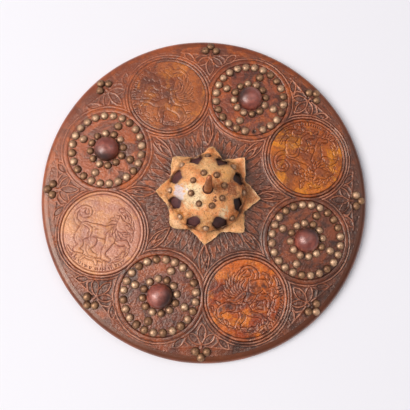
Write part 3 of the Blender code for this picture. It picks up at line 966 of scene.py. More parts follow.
hideMesh = {
    "fieldCell": 0.95 * mm,
    "medallionCells": 176,
    "ringCells": 138,
    "innerEdge": 54 * mm,  # under the boss
    "gap": 0.1 * mm,
    "rollSteps": 430,
}
hideLook = {
    "base": (122, 50, 22), "warm": (172, 78, 24), "deep": (58, 22, 18), "southShade": (84, 48, 40),
    "eastShade": (80, 30, 6), "shade": 0.6, "orange": (216, 104, 26), "orangeShare": 0.75, "blotches": 0.78,
    "ground": (76, 39, 30), "groundPale": (138, 89, 71), "groundWarm": (144, 64, 26),
    "pale": (230, 164, 134), "paleShare": 0.7, "rubbed": (186, 86, 38),
    "cut": (42, 16, 14), "grimeAndShade": (46, 30, 28), "gloss": 0.29, "patches": 11,
    "faded": (164, 92, 68), "fade": 0.42, "flecks": 0.35, "grain": 0.5, "mottle": 0.15,
}
medallionLooks = {
    palest: {
        "base": (194, 120, 92), "warm": (226, 150, 96), "deep": (148, 86, 74), "orange": (238, 162, 88),
        "orangeShare": 0.45, "blotches": 0.35, "rubbed": (212, 134, 98), "paleShare": 0.55,
        "cut": (108, 56, 48), "grimeAndShade": (104, 60, 54), "pale": (242, 186, 158)},
    292.5: {
        "base": (166, 64, 18), "warm": (220, 106, 22), "deep": (78, 24, 16), "orange": (246, 134, 30),
        "blotches": 0.75, "rubbed": (216, 100, 28), "grimeAndShade": (66, 30, 28), "mottle": 0.5},
    22.5: {
        "base": (170, 76, 6), "warm": (208, 106, 2), "deep": (100, 38, 12), "orange": (238, 142, 2),
        "blotches": 0.6, "rubbed": (204, 102, 8), "grimeAndShade": (84, 36, 26), "paleShare": 0.3, "mottle": 0.45},
    112.5: {
        "base": (150, 72, 36), "warm": (192, 102, 44), "deep": (84, 44, 36), "orange": (224, 128, 44),
        "blotches": 0.8, "rubbed": (190, 96, 48), "grimeAndShade": (70, 44, 40), "fade": 0.25, "mottle": 0.35},
}
edgeLook = {
    "orangeShare": 0.45, "blotches": 0.6, "flecks": 0.15, "grain": 0.22, "shade": 0.9,
    "deep": (52, 27, 22), "southShade": (108, 54, 30), "eastShade": (72, 28, 8)}
ringLook = {
    "base": (140, 68, 48), "warm": (184, 90, 46), "deep": (64, 34, 32), "orange": (206, 102, 44),
    "orangeShare": 0.7, "blotches": 0.85, "pale": (226, 158, 128), "shade": 0.4}


def makeField(finish):
    wide = tooling["bandOuter"] * mm
    cells = int(2 * wide / hideMesh["fieldCell"]) + 2
    size = cells * hideMesh["fieldCell"]
    piece = addGrid(cells, cells, size, size)
    setPoints(piece, getPoints(piece) - [size / 2, size / 2, 0])

    def keep(x, y):
        radius = np.hypot(x, y)
        room = np.minimum(wide - radius, radius - hideMesh["innerEdge"])
        for r in roundels:
            seam = borders[r["kind"]]["seam"] * mm + hideMesh["gap"]
            room = np.minimum(room, np.hypot(x - r["centre"][0] * mm, y - r["centre"][1] * mm) - seam)
        return room

    trim(piece, keep, hideMesh["fieldCell"])
    pressHide(piece, True)
    finishPiece(piece, "tooled_field", finish, ("face_leather",), 50)


def makeRoundel(roundel, name, cells, finish):
    radius = borders[roundel["kind"]]["seam"] * mm - hideMesh["gap"]
    centre = [c * mm for c in roundel["centre"]]
    piece = roundSheet(cells, radius, centre)
    pressHide(piece)
    if "band" in printing.get(roundel["angle"], ()):  # border and strokes keep the colour of the hide
        x, y = (getPoints(piece)[:, :2] - centre).T / mm
        away, turn = np.hypot(x, y), np.degrees(np.arctan2(y, x))
        off = np.abs((turn - roundel["angle"] - inscription["at"] + 180) % 360 - 180)
        band = printing[roundel["angle"]]["band"] * ramp(off, 57, -5) * ramp(away, 50.2, 1.4)
        setAttribute(piece, "border", np.maximum(ramp(away, 57.0, 1.4), band))
    finishPiece(piece, name, finish, ("face_leather",), 50)


def spinProfile(loop, steps):  # turns a closed line of (radius, height) round the Z axis
    deselectAll()
    bpy.ops.mesh.primitive_circle_add(vertices=len(loop), radius=1, fill_type="NOTHING")
    piece = bpy.context.object
    setPoints(piece, np.array([(r, 0, z) for r, z in loop]))
    makeActive(piece)
    bpy.ops.object.mode_set(mode="EDIT")
    bpy.ops.mesh.select_all(action="SELECT")
    bpy.ops.mesh.spin(steps=steps, angle=2 * math.pi, center=(0, 0, 0), axis=(0, 0, 1))
    leaveEdit()
    faceOutwards(piece, 0.00001)
    return piece


def makeRolledEdge(finish):
    seam = tooling["bandOuter"] * mm + hideMesh["gap"]
    start = math.atan(2 * domeRise / faceRadius)

    def onRoll(size, angle):
        return (faceRadius + size * math.sin(angle), edgeRadius + size * math.cos(angle))

    loop = [(r, faceHeight(r)) for r in (seam, (seam + onRoll(edgeRadius, start)[0]) / 2)]
    loop += [onRoll(edgeRadius, start + (math.pi - start) * i / 20) for i in range(21)]
    loop += [(faceRadius + (lipRadius - faceRadius) * s, 0.0) for s in (0.25, 0.5, 0.75, 1.0)]
    loop.append((lipRadius, hideThickness))
    loop += [onRoll(edgeRadius - hideThickness, math.pi - (math.pi - start) * i / 6) for i in range(7)]
    loop.append((seam, faceHeight(seam) - hideThickness))
    piece = spinProfile(loop, hideMesh["rollSteps"])
    points = getPoints(piece)
    radius, turn = np.hypot(points[:, 0], points[:, 1]), np.arctan2(points[:, 1], points[:, 0])
    slack = sum(np.sin(np.radians(np.degrees(turn) * n + phase)) * size for n, phase, size in (
        (5, 20, 0.12), (11, 75, 0.1), (23, 140, 0.07), (47, 15, 0.05), (83, 200, 0.04)))
    onEdge = points[:, 2] < faceHeight(seam) - 0.2 * mm
    inward = (-0.16 + 0.5 * slack) * mm * onEdge
    pleats = np.sin(turn * 90 + 1.7 * np.sin(turn * 13)) * 0.35 + np.sin(turn * 47) * 0.2
    below = ramp(points[:, 2], 3 * mm, -3 * mm) * (radius < faceRadius)
    turnedOver = below * ramp(radius, faceRadius - 1 * mm, -6 * mm)
    points[:, 0] += inward * np.cos(turn)
    points[:, 1] += inward * np.sin(turn)
    points[:, 2] += (0.7 + np.clip(pleats, 0, 1) * 0.5) * mm * turnedOver
    setPoints(piece, points)
    lean = np.degrees(np.arctan2(radius - faceRadius, points[:, 2] - edgeRadius))
    patchy = 0.5 + 0.5 * np.sin(turn * 7 + 1.3 * np.sin(turn * 4)) * np.sin(turn * 17 + 2)
    setAttribute(piece, "rubbed", hump(lean - 72, 26) * (0.35 + 0.6 * patchy))
    setAttribute(piece, "wear", 0.25 * hump(lean - 40, 18) * patchy)
    setAttribute(piece, "faded", boardAt("faded", points[:, 0], points[:, 1]))
    # painted shade: darker where the roll turns under; patchy dirt on its upper side
    setAttribute(piece, "grimeAndShade", np.clip((lean - 110) / 60, 0, 0.5) + 0.25 * (1 - patchy) * (lean < 60))
    finishPiece(piece, "rolled_edge", finish, ("face_leather",), 60)


makeField(hideFinish("tooled hide", hideLook))
print("field meshed")
ringMaterial = hideFinish("ring hide", {**hideLook, **ringLook})
for index, r in enumerate(rings):
    makeRoundel(r, f"ring_field_{index + 1}", hideMesh["ringCells"], ringMaterial)
for index, r in enumerate(medallions):
    look = {**hideLook, "shade": 0, **medallionLooks[r["angle"]]}
    makeRoundel(r, f"medallion_{index + 1}", hideMesh["medallionCells"],
                hideFinish(f"medallion hide {index + 1}", look))
makeRolledEdge(hideFinish("edge hide", {**hideLook, **edgeLook}))
print("hide meshed")


# the boss: a dark leather dome under a pale hide cap cut into an eight-pointed star

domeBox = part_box("boss_dome")
cap = {
    "thickness": 1.8 * mm,
    "hole": 7.8 * mm,
    "foot": 76.0,  # degrees down the dome where the points turn outwards
    "columns": 368,
    "domeRows": 46,
    "brimRows": 16,
    "brimLift": 4.2 * mm,
    "brimLength": 20 * mm,  # of the flat pattern; the points draw it out
    "girth": 2 * math.pi * 40 * mm,  # likewise
    "waist": 0.95,
    "reach": (81.5, 78.5, 71.5, 76.0, 77.0, 76.0, 78.5, 82.0),  # millimetres, from +X round
    "curl": (4.0, 5.0, 14.0, 6.0, 3.0, 8.0, 2.0, 5.0),
    "twist": (3.0, -4.0, -5.0, 4.0, -3.0, 5.0, 3.0, -4.0),  # one side of each point higher than the other
    "blunt": (0.5, 1.5, 4.5, 3.0, 0.6, 2.5, 0.5, 1.5),  # what is worn off the tips
    "swing": (-4.5, 0.0, -4.5, 0.0, 0.5, 0.0, 0.0, 0.5),  # degrees each point is pulled aside
    "windowAt": 60.5,
    "windowWidth": 22.0,
    "windowDrop": 27.5,
}
domeInset = cap["thickness"] + 0.3 * mm
bossRadius = (domeBox[1][0] - domeBox[0][0]) / 2 + domeInset
bossHeight = domeBox[1][2] - faceTop + domeInset


def domePoint(degrees):  # radius and height on the boss
    a = np.radians(degrees)
    return bossRadius * np.sin(a), faceTop + bossHeight * np.cos(a)


def domeNormal(degrees, around):
    radius, height = domePoint(degrees)
    across, up = radius / bossRadius**2, (height - faceTop) / bossHeight**2
    return Vector(polar(across, around) + (up,)).normalized()


def starEdge(turn):  # outline radius and curl of the star, in metres, and how near each point is to a tip
    swings = cap["swing"] + cap["swing"][:1]
    turn = turn - np.radians(np.interp(np.degrees(turn) % 360, np.arange(9) * 45.0, swings))
    turn = turn % (2 * math.pi)
    step = turn / (math.pi / 4)
    nearest = np.round(step)
    off = np.abs(step - nearest) * math.pi / 4
    tip = nearest.astype(int) % 8
    other = (tip + np.where(step > nearest, 1, -1)) % 8
    reaches, curls, twists, blunts = (np.array(cap[key]) * mm for key in ("reach", "curl", "twist", "blunt"))
    half = math.pi / 8
    waist = math.cos(half) + cap["waist"] * math.sin(half)
    share = 1 - off / half
    straight = reaches[tip] / (np.cos(off) + cap["waist"] * np.sin(off))
    shared = (reaches[tip] + reaches[other]) / 2 / waist
    ragged = 0.6 * np.sin(turn * 9 + 1) + 0.4 * np.sin(turn * 23 + 2) + 0.25 * np.sin(turn * 51)
    blunt = blunts[tip] * np.clip(1 - off / math.radians(4.5), 0, 1) ** 1.5
    edge = straight + (shared - reaches[tip] / waist) * (1 - share) + ragged * mm - blunt
    twist = twists[tip] * (step - nearest) * 2 * np.clip(share * 1.6, 0, 1)
    return edge, curls[tip] * share**2 + twist, share


def makeCap(finish):
    start = math.degrees(math.asin(cap["hole"] / bossRadius))
    fine = np.linspace(start, cap["foot"], 400)
    r, z = domePoint(fine)
    walked = np.r_[0, np.cumsum(np.hypot(np.diff(r), np.diff(z)))]
    domeLength, brimLength, girth = walked[-1], cap["brimLength"], cap["girth"]
    windowAt = np.interp(cap["windowAt"], fine, walked)
    cuts = np.random.default_rng(5).uniform(-1, 1, (8, 4))

    def windowGap(x, y):  # positive outside the eight windows, each a drawn-out pentagon
        turn = x / girth * 360
        k = np.clip(np.floor(turn / 45), 0, 7).astype(int)
        radius = domePoint(np.interp(y, walked, fine))[0]
        aside = (np.radians(turn - 22.5 - 45 * k - 2.0 * cuts[k, 0])) * radius / mm
        down = (y - windowAt) / mm - 1.1 * cuts[k, 1]
        aside, down = aside - 0.14 * down * cuts[k, 3], down + 0.24 * aside * cuts[k, 2]
        aside = np.sqrt(aside**2 + 0.6) * 1.902 / (cap["windowWidth"] * (1 + 0.1 * cuts[k, 3]))
        down = down * 1.809 / (cap["windowDrop"] * (1 + 0.1 * cuts[k, 1]))
        down = down + 0.05 * np.sin(aside * 6 + k)
        total = 0
        for degrees in (0, 72, 144):  # its sides' directions, blended for soft corners
            a = math.radians(degrees)
            total = total + np.exp(11 * (math.cos(a) * down + math.sin(a) * aside))
        return (np.log(total) / 11 - 0.809) * 11 * mm

    rows = cap["domeRows"] + cap["brimRows"]
    piece = addGrid(cap["columns"], rows, girth, rows)
    points = getPoints(piece)
    row = points[:, 1].copy()
    points[:, 1] = np.where(
        row <= cap["domeRows"], row / cap["domeRows"] * domeLength,
        domeLength + (row - cap["domeRows"]) / cap["brimRows"] * brimLength)
    setPoints(piece, points)
    trim(piece, windowGap, 1.1 * mm)
    points = getPoints(piece)
    along, gap = points[:, 1], windowGap(points[:, 0], points[:, 1]) / mm
    shape, marks = shapeCap(points[:, 0] / girth * 2 * math.pi, (along - domeLength) / mm,
                            np.interp(along, walked, fine), np.clip(gap, 0, 60))
    setPoints(piece, shape)
    for name, values in marks.items():
        setAttribute(piece, name, values)
    faceOutwards(piece, 0.00002)
    applyModifier(piece, "SOLIDIFY", thickness=cap["thickness"], offset=-1)
    finishPiece(piece, "star_cap", finish, ("boss_cap",), 45)


# the cap's places and marks from the turn, the millimetres past the foot, the degrees down the dome
# and the distance to the nearest window
def shapeCap(turn, past, degrees, gap):
    radius, height = domePoint(degrees)
    footRadius, footHeight = domePoint(cap["foot"])
    share = np.clip(past * mm / cap["brimLength"], 0, 1)
    edge, curl, tipShare = starEdge(turn)
    out = footRadius + (edge - footRadius) * share
    brim = faceHeight(out) + cap["thickness"] + cap["brimLift"] + curl * share**2
    onBrim = past > 0
    radius = np.where(onBrim, out, radius)
    height = np.where(onBrim, footHeight + (brim - footHeight) * np.sqrt(share), height)
    x, y = radius * np.cos(turn), radius * np.sin(turn)
    valley = hump(tipShare, 0.2) * ramp(degrees, 60, 14)
    lift = wrinkles(x, y, 3, ((46 * mm, 0.5), (21 * mm, 0.28), (9 * mm, 0.1)))
    lift += 1.3 * hump(gap, 2.5, 1) - 1.2 * valley
    flare = (0.5 + 0.5 * np.cos(8 * turn)) ** 1.5 * (1 - share) ** 1.5
    lift += 2.6 * flare * hump(degrees - 78, 9)
    lift += share * wrinkles(x, y, 8, ((30 * mm, 1.5), (12 * mm, 0.5)))
    lift += 1.3 * share**2 * np.sin(turn * 8 + 2 * np.sin(turn * 3)) * tipShare
    lift += 1.8 * (0.25 + np.cos(8 * turn)) * hump(degrees - 58, 20) * (1 - share)
    pressed, rust = 0 * x, 0 * x
    for row, stain in (("crown", 6.4), ("foot", 7.5)):  # flat under each tack, and stained round it
        for node in bossNodes[row]:
            away = np.sqrt(sum((c - m) ** 2 for c, m in zip((x, y, height), middleOf(node)))) / mm
            pressed = np.maximum(pressed, hump(away, 6.8, 4))
            rust = np.maximum(rust, hump(away, stain, 4))
    lift = lift * (1 - pressed)
    slope = np.where(onBrim, 0.15, np.clip(radius / bossRadius, 0, 0.97))
    x += lift * mm * slope * np.cos(turn)
    y += lift * mm * slope * np.sin(turn)
    height += lift * mm * np.sqrt(1 - slope**2)
    # painted shade: darker in the notches between the points, along the fold at the foot and round each
    # window
    creaseShade = valley * 0.9 + hump(past - 1.0, 3.4) * (0.25 + 0.75 * (1 - tipShare)) + 0.9 * hump(gap, 1.6, 1)
    dull = (1 - 0.75 * tipShare) * hump(past - 2.5, np.where(past > 2.5, 7.0, 4.0))
    return np.c_[x, y, height], {
        "crease": np.clip(np.maximum(creaseShade, 0.6 * hump(past - 1.2, 2.2)), 0, 1),
        "dull": np.clip(1.2 * dull + 0.7 * hump(gap, 3.5, 1), 0, 1),
        "rust": rust,
        # the star's outer edges made paler: the hide's lighter cut edge and a painted highlight where the
        # edges lift
        "edge": np.exp(-((1 - share) * 9)) * onBrim,
    }


capStainsAndHighlights = (  # x, y, z and radius in millimetres, then the tint; the first two are a painted highlight and a painted reflection on the dome's west side, the rest stains
    (-20, -8, 70, 23, (255, 228, 178)), (-38, -4, 62, 12, (228, 216, 224)),
    (20, -32, 62, 10, (255, 222, 176)),
    (26, 22, 66, 17, (244, 172, 92)), (16, 4, 74, 12, (192, 98, 40)), (37, 5, 70, 15, (158, 74, 36)),
    (-37, -33, 54, 13, (178, 106, 34)), (4, -36, 60, 13, (240, 164, 96)), (0, 68, 44, 16, (226, 134, 68)),
    (58, 44, 38, 18, (216, 130, 66)), (-60, 2, 38, 14, (226, 142, 72)), (68, -4, 40, 18, (166, 92, 44)),
    (-2, 34, 70, 18, (255, 198, 132)), (2, -72, 40, 13, (250, 166, 98)), (-50, -50, 38, 16, (255, 202, 150)),
    (30, 36, 60, 15, (255, 184, 112)), (48, -48, 40, 18, (255, 180, 112)), (-46, 46, 40, 17, (255, 190, 126)),
    (54, 6, 52, 12, (150, 76, 40)))


def capFinish():
    f = Finish("pale hide", 0.42)

    def spot(x, y, z, radius):  # a soft-edged, uneven patch round a point
        away = f.node("ShaderNodeVectorMath", operation="DISTANCE")
        f.feed(away.inputs[0], f.coordinates)
        away.inputs[1].default_value = (x * mm, y * mm, z * mm)
        swing = f.spread(f.noise(85, 4, 0.65, 0.5), 0.3, 0.7, -7 * mm, 7 * mm)
        return f.spread(f.maths("ADD", away.outputs["Value"], swing), radius * mm, 0.55 * radius * mm)

    f.paint(1, (255, 152, 84))
    f.paint(f.spread(f.noise(26, 4, 0.6, 0.8), 0.4, 0.6), (255, 188, 122))
    f.paint(f.spread(f.noise(52, 5, 0.65, 0.6), 0.5, 0.62, 0, 0.6), (214, 116, 48))
    # stains, with a painted highlight and a painted reflection on the west side of the dome
    for x, y, z, radius, tint in capStainsAndHighlights:
        f.paint(f.times(spot(x, y, z, radius), 0.85), tint)
    f.paint(spot(12, -17, 74, 2.6), (98, 44, 22))  # a small crack
    specks = f.spread(f.noise(400, 2, 0.5), 0.58, 0.68, 0, 0.6)
    f.paint(f.times(specks, f.spread(f.noise(30, 2), 0.4, 0.54)), (116, 58, 30))
    f.paint(f.spread(f.noise(160, 4, 0.7, 0.4, stretch=(1, 1, 0.35)), 0.4, 0.65, 0, 0.16), (176, 98, 44))
    f.paint(f.spread(f.noise(240, 5, 0.75, 0.5), 0.5, 0.62, 0, 0.42), (255, 202, 148))
    vein = f.maths("ABSOLUTE", f.maths("SUBTRACT", f.noise(48, 5, 0.6, 0.7), 0.5), 0.0)
    f.paint(f.spread(vein, 0.0, 0.016, 0.3, 0), (176, 96, 44))
    rough = f.noise(75, 4, 0.65)
    dirt = f.spread(f.noise(55, 4, 0.6, 0.6), 0.36, 0.6, 0.0, 0.75)
    f.paint(f.times(f.attribute("dull"), dirt), (136, 84, 50))
    # painted shade in the folds and notches and round the windows
    f.paint(f.times(f.attribute("crease"), f.spread(rough, 0.3, 0.6, 0.45, 1.0)), (84, 50, 32))
    f.paint(f.times(f.attribute("rust"), f.spread(rough, 0.35, 0.65, 0.2, 0.75)), (120, 76, 44))
    # paler outer edges of the star: the cut edge and a painted highlight
    f.paint(f.times(f.attribute("edge"), 0.7), (246, 204, 150))
    f.set("Roughness", f.spread(f.noise(36, 3), 0.3, 0.7, 0.27, 0.42))
    f.set("Specular IOR Level", 0.75)
    f.set("Specular Tint", (1.0, 0.9, 0.78, 1.0))
    pores = f.bump(f.noise(900, 3, 0.6), 0.0003, 0.5)
    folds = f.bump(f.noise(100, 6, 0.7, 0.6), 0.004, 0.6, pores)
    f.bump(f.spread(vein, 0.0, 0.05), 0.0008, 0.6, folds)
    return f.material


def makeDome(finish):  # the dark dome below the cap
    piece = halfBall(120, 60, 0)
    x, y, z = getPoints(piece).T
    dent = wrinkles(x * 50, y * 50, 21, ((26, 0.3), (9, 0.16))) * mm - 0.3 * mm
    wide, high = bossRadius - domeInset + dent, bossHeight - domeInset - 0.4 * mm + dent
    setPoints(piece, np.c_[x * wide, y * wide, faceTop + 0.4 * mm + z * high])
    closeBelow(piece, 0.1 * mm)
    # how far east each point lies, for the painted shade
    setAttribute(piece, "side", 0.5 + 0.5 * getPoints(piece)[:, 0] / bossRadius)
    finishPiece(piece, "dark_dome", finish, ("boss_dome",), 60)


def darkFinish(name, base, worn, shine):  # painted shade: darker on the east side, away from the key light
    f = Finish(name, 0.4)
    f.paint(1, base)
    f.paint(f.spread(f.noise(60, 4, 0.6, 0.4), 0.35, 0.65), worn)
    f.paint(f.spread(f.noise(180, 4, 0.7), 0.5, 0.7, 0, 0.5), (54, 32, 34))
    # painted shade on the side away from the key light
    f.paint(f.spread(f.attribute("side"), 0.4, 0.92, 0, 0.92), (24, 14, 17))
    f.set("Roughness", f.spread(f.noise(90, 3), 0.3, 0.7, shine, shine + 0.16))
    pores = f.bump(f.noise(1300, 3, 0.6), 0.0002, 0.5)
    f.bump(f.noise(220, 4, 0.6, 0.8), 0.0007, 0.5, pores)
    return f


makeCap(capFinish())
makeDome(darkFinish("dome leather", (78, 44, 46), (108, 64, 60), 0.34).material)
print("boss made")


# the spike

spike = {"length": 94.5 * mm, "lean": -1.4, "base": 6.1 * mm, "sides": 40, "rings": 34, "sunk": 0.4 * mm}


def makeSpike():
    deselectAll()
    bpy.ops.mesh.primitive_cylinder_add(vertices=spike["sides"], radius=1, depth=1, end_fill_type="NGON")
    piece = bpy.context.object
    bpy.ops.object.mode_set(mode="EDIT")
    bpy.ops.mesh.select_mode(type="EDGE")
    bpy.ops.mesh.select_all(action="DESELECT")
    leaveEdit()
    for edge in piece.data.edges:
        ends = [piece.data.vertices[v].co.z for v in edge.vertices]
        edge.select = abs(ends[0] - ends[1]) > 0.5
    bpy.ops.object.mode_set(mode="EDIT")
    bpy.ops.mesh.subdivide_edgering(number_cuts=spike["rings"] - 1, smoothness=0)
    leaveEdit()
    x, y, z = getPoints(piece).T
    s = np.round((z + 0.5) * spike["rings"]) / spike["rings"]  # 0 at the foot, 1 at the tip
    radius = spike["base"] * (1 - 0.28 * s - 0.2 * s**2) * (1 + 0.06 * hump(s - 0.02, 0.03))
    radius = np.maximum(radius * np.sqrt(1 - np.clip((s - 0.955) / 0.045, 0, 1) ** 2), 0.05 * mm)
    turn, height = np.arctan2(y, x), s * spike["length"]
    hammered = 0.22 * np.sin(turn * 3 + height * 160) + 0.16 * np.sin(turn * 5 - height * 420)
    radius = radius * (1 + 0.045 * hammered)
    setPoints(piece, np.c_[radius * np.cos(turn), radius * np.sin(turn), height])
    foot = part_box("spike")[0][2] + spike["sunk"]
    lean = Matrix.Rotation(math.radians(spike["lean"]), 4, "Y")
    piece.data.transform(Matrix.Translation((0, 0, foot)) @ lean)
    f = Finish("aged bronze", 0.38, 0.4)
    f.paint(1, (140, 78, 46))
    f.paint(f.spread(f.noise(90, 4, 0.6, 0.6), 0.35, 0.65), (188, 112, 70))
    f.paint(f.spread(f.noise(260, 4, 0.7), 0.5, 0.7, 0, 0.6), (92, 54, 34))
    f.set("Roughness", f.spread(f.noise(140, 3), 0.3, 0.7, 0.3, 0.5))
    f.bump(f.noise(200, 4, 0.6, 0.5), 0.0006, 0.5)
    finishPiece(piece, "blunt_spike", f.material, ("spike",), 50)


makeSpike()


# knobs and tacks

knob = {"segments": 72, "rings": 36, "pleats": 26, "radius": 19.5 * mm, "height": 17.0 * mm, "sunk": 0.9 * mm}
tack = {
    "sides": 12, "rings": 6, "sunk": 0.7 * mm, "height": 4.8 * mm, "crownAt": 24.5 * mm, "footDown": 66.0,
    "halfWidths": (("crown", 5.0), ("foot", 5.0), ("inner", 6.1), ("", 6.5)),  # millimetres, first match
}


def seatOnFace(x, y):  # stands a thing on the domed face, x and y in metres
    normal = Vector((2 * domeRise * x / faceRadius**2, 2 * domeRise * y / faceRadius**2, 1)).normalized()
    return standOn(Vector((x, y, faceHeight(math.hypot(x, y)))), normal)


def makeKnobs():
    base = halfBall(knob["segments"], knob["rings"], 0.15)
    x, y, z = getPoints(base).T
    turn, dome = np.arctan2(y, x), np.clip(z, 0, 1) ** 0.86
    for i, r in enumerate(rings):
        pleat = hump(z - 0.12, 0.2) * (
            np.sin(turn * knob["pleats"] + i) * 0.010 + np.sin(turn * 11 + 2 * i) * 0.014)
        sag = wrinkles(x, y, 40 + i, ((1.6, 0.022), (0.7, 0.012)))
        out = np.hypot(x, y) * (1 - 0.05 * np.clip(0.25 - z, 0, 1)) * (1 + pleat) * 0.985 * knob["radius"]
        height = np.where(z < -0.01, -knob["sunk"], dome * knob["height"] * (1 + sag) - 0.2 * mm)
        twin = copyOf(base)
        setPoints(twin, np.c_[out * np.cos(turn), out * np.sin(turn), height])
        # how far east each point lies, for the painted shade
        setAttribute(twin, "side", np.clip(0.5 + 0.5 * x, 0, 1))
        twin.data.transform(seatOnFace(*[c * mm for c in r["centre"]]))
        finishPiece(twin, f"leather_knob_{i + 1}", knobFinish(i), (f"knob_{i + 1}",), 60)
    bpy.data.objects.remove(base)


def knobFinish(i):
    f = darkFinish(f"knob leather {i + 1}", (124, 62, 54), (176, 102, 88), 0.3)
    f.set("Specular IOR Level", 0.9)
    f.set("Coat Weight", 0.9)
    f.set("Coat Roughness", 0.36)
    for socket in ("Coat Tint", "Specular Tint"):
        f.set(socket, (1.0, 0.84, 0.78, 1.0))
    return f.material


def brassFinish(name, bright, dull, dark):
    f = Finish(name, 0.48, 0.5)
    f.paint(1, bright)
    f.paint(f.spread(f.noise(130, 3, 0.6), 0.35, 0.65), dull)
    # darker towards the foot of each tack: patina and painted shade
    f.paint(f.attribute("foot"), dark)
    f.paint(f.spread(f.noise(520, 3, 0.7), 0.52, 0.7, 0, 0.6), dark)
    return f.material


def listTacks():  # name, where it stands, the node it stands for and which finish
    places = []
    for name, x, y in tackPlaces:
        if name != ringStuds["missing"]:
            places.append((name, seatOnFace(x * mm, y * mm), (), 0))
    for node in rimNodes:
        x, y, _ = middleOf(node)
        places.append((node.replace("tack", "stud"), seatOnFace(x, y), (node,), 0))
    crownDown = math.degrees(math.asin(tack["crownAt"] / bossRadius))
    for row, down, finish in (("crown", crownDown, 1), ("foot", tack["footDown"], 0)):
        radius, height = domePoint(down)
        for node in bossNodes[row]:
            x, y, _ = middleOf(node)
            turn = math.degrees(math.atan2(y, x))
            seat = Vector(polar(radius, turn) + (height,))
            place = standOn(seat, domeNormal(down, turn))
            places.append((node.replace("tack", "stud"), place, (node,), finish))
    return places


def makeTacks():
    base = halfBall(tack["sides"], tack["rings"], 0.15)
    master = getPoints(base)
    makeActive(base)
    bpy.ops.object.shade_smooth_by_angle(angle=math.radians(60))
    finishes = [
        brassFinish("aged brass", (230, 186, 148), (184, 138, 106), (44, 28, 22)),
        brassFinish("brown brass", (186, 140, 102), (136, 94, 68), (40, 24, 20)),
    ]
    for name, place, nodes, finish in listTacks():
        size = dice.uniform(0.95, 1.03)
        wide = next(width for part, width in tack["halfWidths"] if part in name) * mm * size
        points = master + dice.normal(0, 0.018, master.shape) * (master[:, 2:3] > 0.02)
        points[:, 0:2] *= wide
        points[:, 2] = np.where(master[:, 2] < -0.01, -tack["sunk"], points[:, 2] * tack["height"] * size)
        tip = Matrix.Rotation(dice.normal(0, 0.07), 4, "X") @ Matrix.Rotation(dice.normal(0, 0.07), 4, "Y")
        spin = Matrix.Rotation(dice.uniform(0, 6.28), 4, "Z")
        if dice.random() < (0.8 if name.startswith("rim") else 0.35):
            finish = 1
        twin = copyOf(base)
        setPoints(twin, points)
        # low on the tack, where the finish paints patina and shade
        setAttribute(twin, "foot", np.clip(1.15 - master[:, 2] / 0.6, 0, 1) * 0.9)
        twin.data.transform(place @ tip @ spin)
        dress(twin, name, finishes[finish], nodes)
    bpy.data.objects.remove(base)


makeKnobs()
makeTacks()
print("knobs and tacks made")


# the back: planks, the two straps and their nails

boardBack = {
    "radius": lipRadius + 0.3 * mm, "rise": 15 * mm, "foot": 2.8 * mm, "cells": 190,
    "edge": 12.5 * mm, "top": 29 * mm,  # its hidden top is a low cone
    "seams": (-139, -47, 44, 136),
    "steps": (0.25, -0.3, 0.1, -0.15, 0.3),  # each plank's height beside its neighbours
    "shades": (0.15, 0.85, 0.4, 1.0, 0.0),
}
straps = {
    "arm_band": {"node": "arm_strap", "corner": 7.0 * mm, "thickness": 3.2 * mm},
    "grip_band": {"node": "hand_grip", "corner": 5.0 * mm, "thickness": 3.7 * mm},
}
strapRun = {
    "tab": 25 * mm, "slope": 28 * mm, "freeTop": 5.8 * mm, "columns": 22, "rows": 150,
    "held": 40 * mm, "loosening": 30 * mm,  # from each end: lying flat, then coming free
    "creaseIn": 3.6, "creaseWidth": 0.7,  # millimetres, the line pressed along each edge
    "wornEdge": 0.7 * mm,
}


def backHeight(radius):
    return boardBack["foot"] + boardBack["rise"] * (1 - (radius / lipRadius) ** 2)


def makeBoard():  # five planks side by side, a little uneven
    piece = roundSheet(boardBack["cells"], boardBack["radius"], (0, 0))
    points = getPoints(piece)
    x, y = points[:, 0] / mm, points[:, 1] / mm
    line = y + 0.4 * np.sin(x / 60) + 0.2 * np.sin(x / 17)
    seams = np.array(boardBack["seams"], float)
    plank = np.searchsorted(seams, line)
    nearest = np.min(np.abs(line[:, None] - seams[None, :]), axis=1)
    up = 1.1 * hump(nearest, 1.1) + np.array(boardBack["steps"])[plank] * np.clip(nearest / 3, 0, 1)
    up += wrinkles(x * mm, y * mm * 4, 61, ((120 * mm, 0.16), (45 * mm, 0.08)))
    points[:, 2] = backHeight(np.hypot(points[:, 0], points[:, 1])) + (up + 0.4) * mm
    setPoints(piece, points)
    setAttribute(piece, "plank", np.array(boardBack["shades"])[plank])
    setAttribute(piece, "seam", hump(nearest, 2.6))
    border = np.zeros(len(points), bool)
    border[openPoints(piece)] = True
    editPoints(piece, border)
    bpy.ops.mesh.extrude_region_move(TRANSFORM_OT_translate={"value": (0, 0, boardBack["edge"])})
    bpy.ops.mesh.edge_face_add()
    bpy.ops.mesh.poke(offset=0.0)
    leaveEdit()
    points = getPoints(piece)
    points[-1, 2] = boardBack["top"]
    setPoints(piece, points)
    faceOutwards(piece)
    finishPiece(piece, "plank_board", woodFinish(), ("board",), 50)


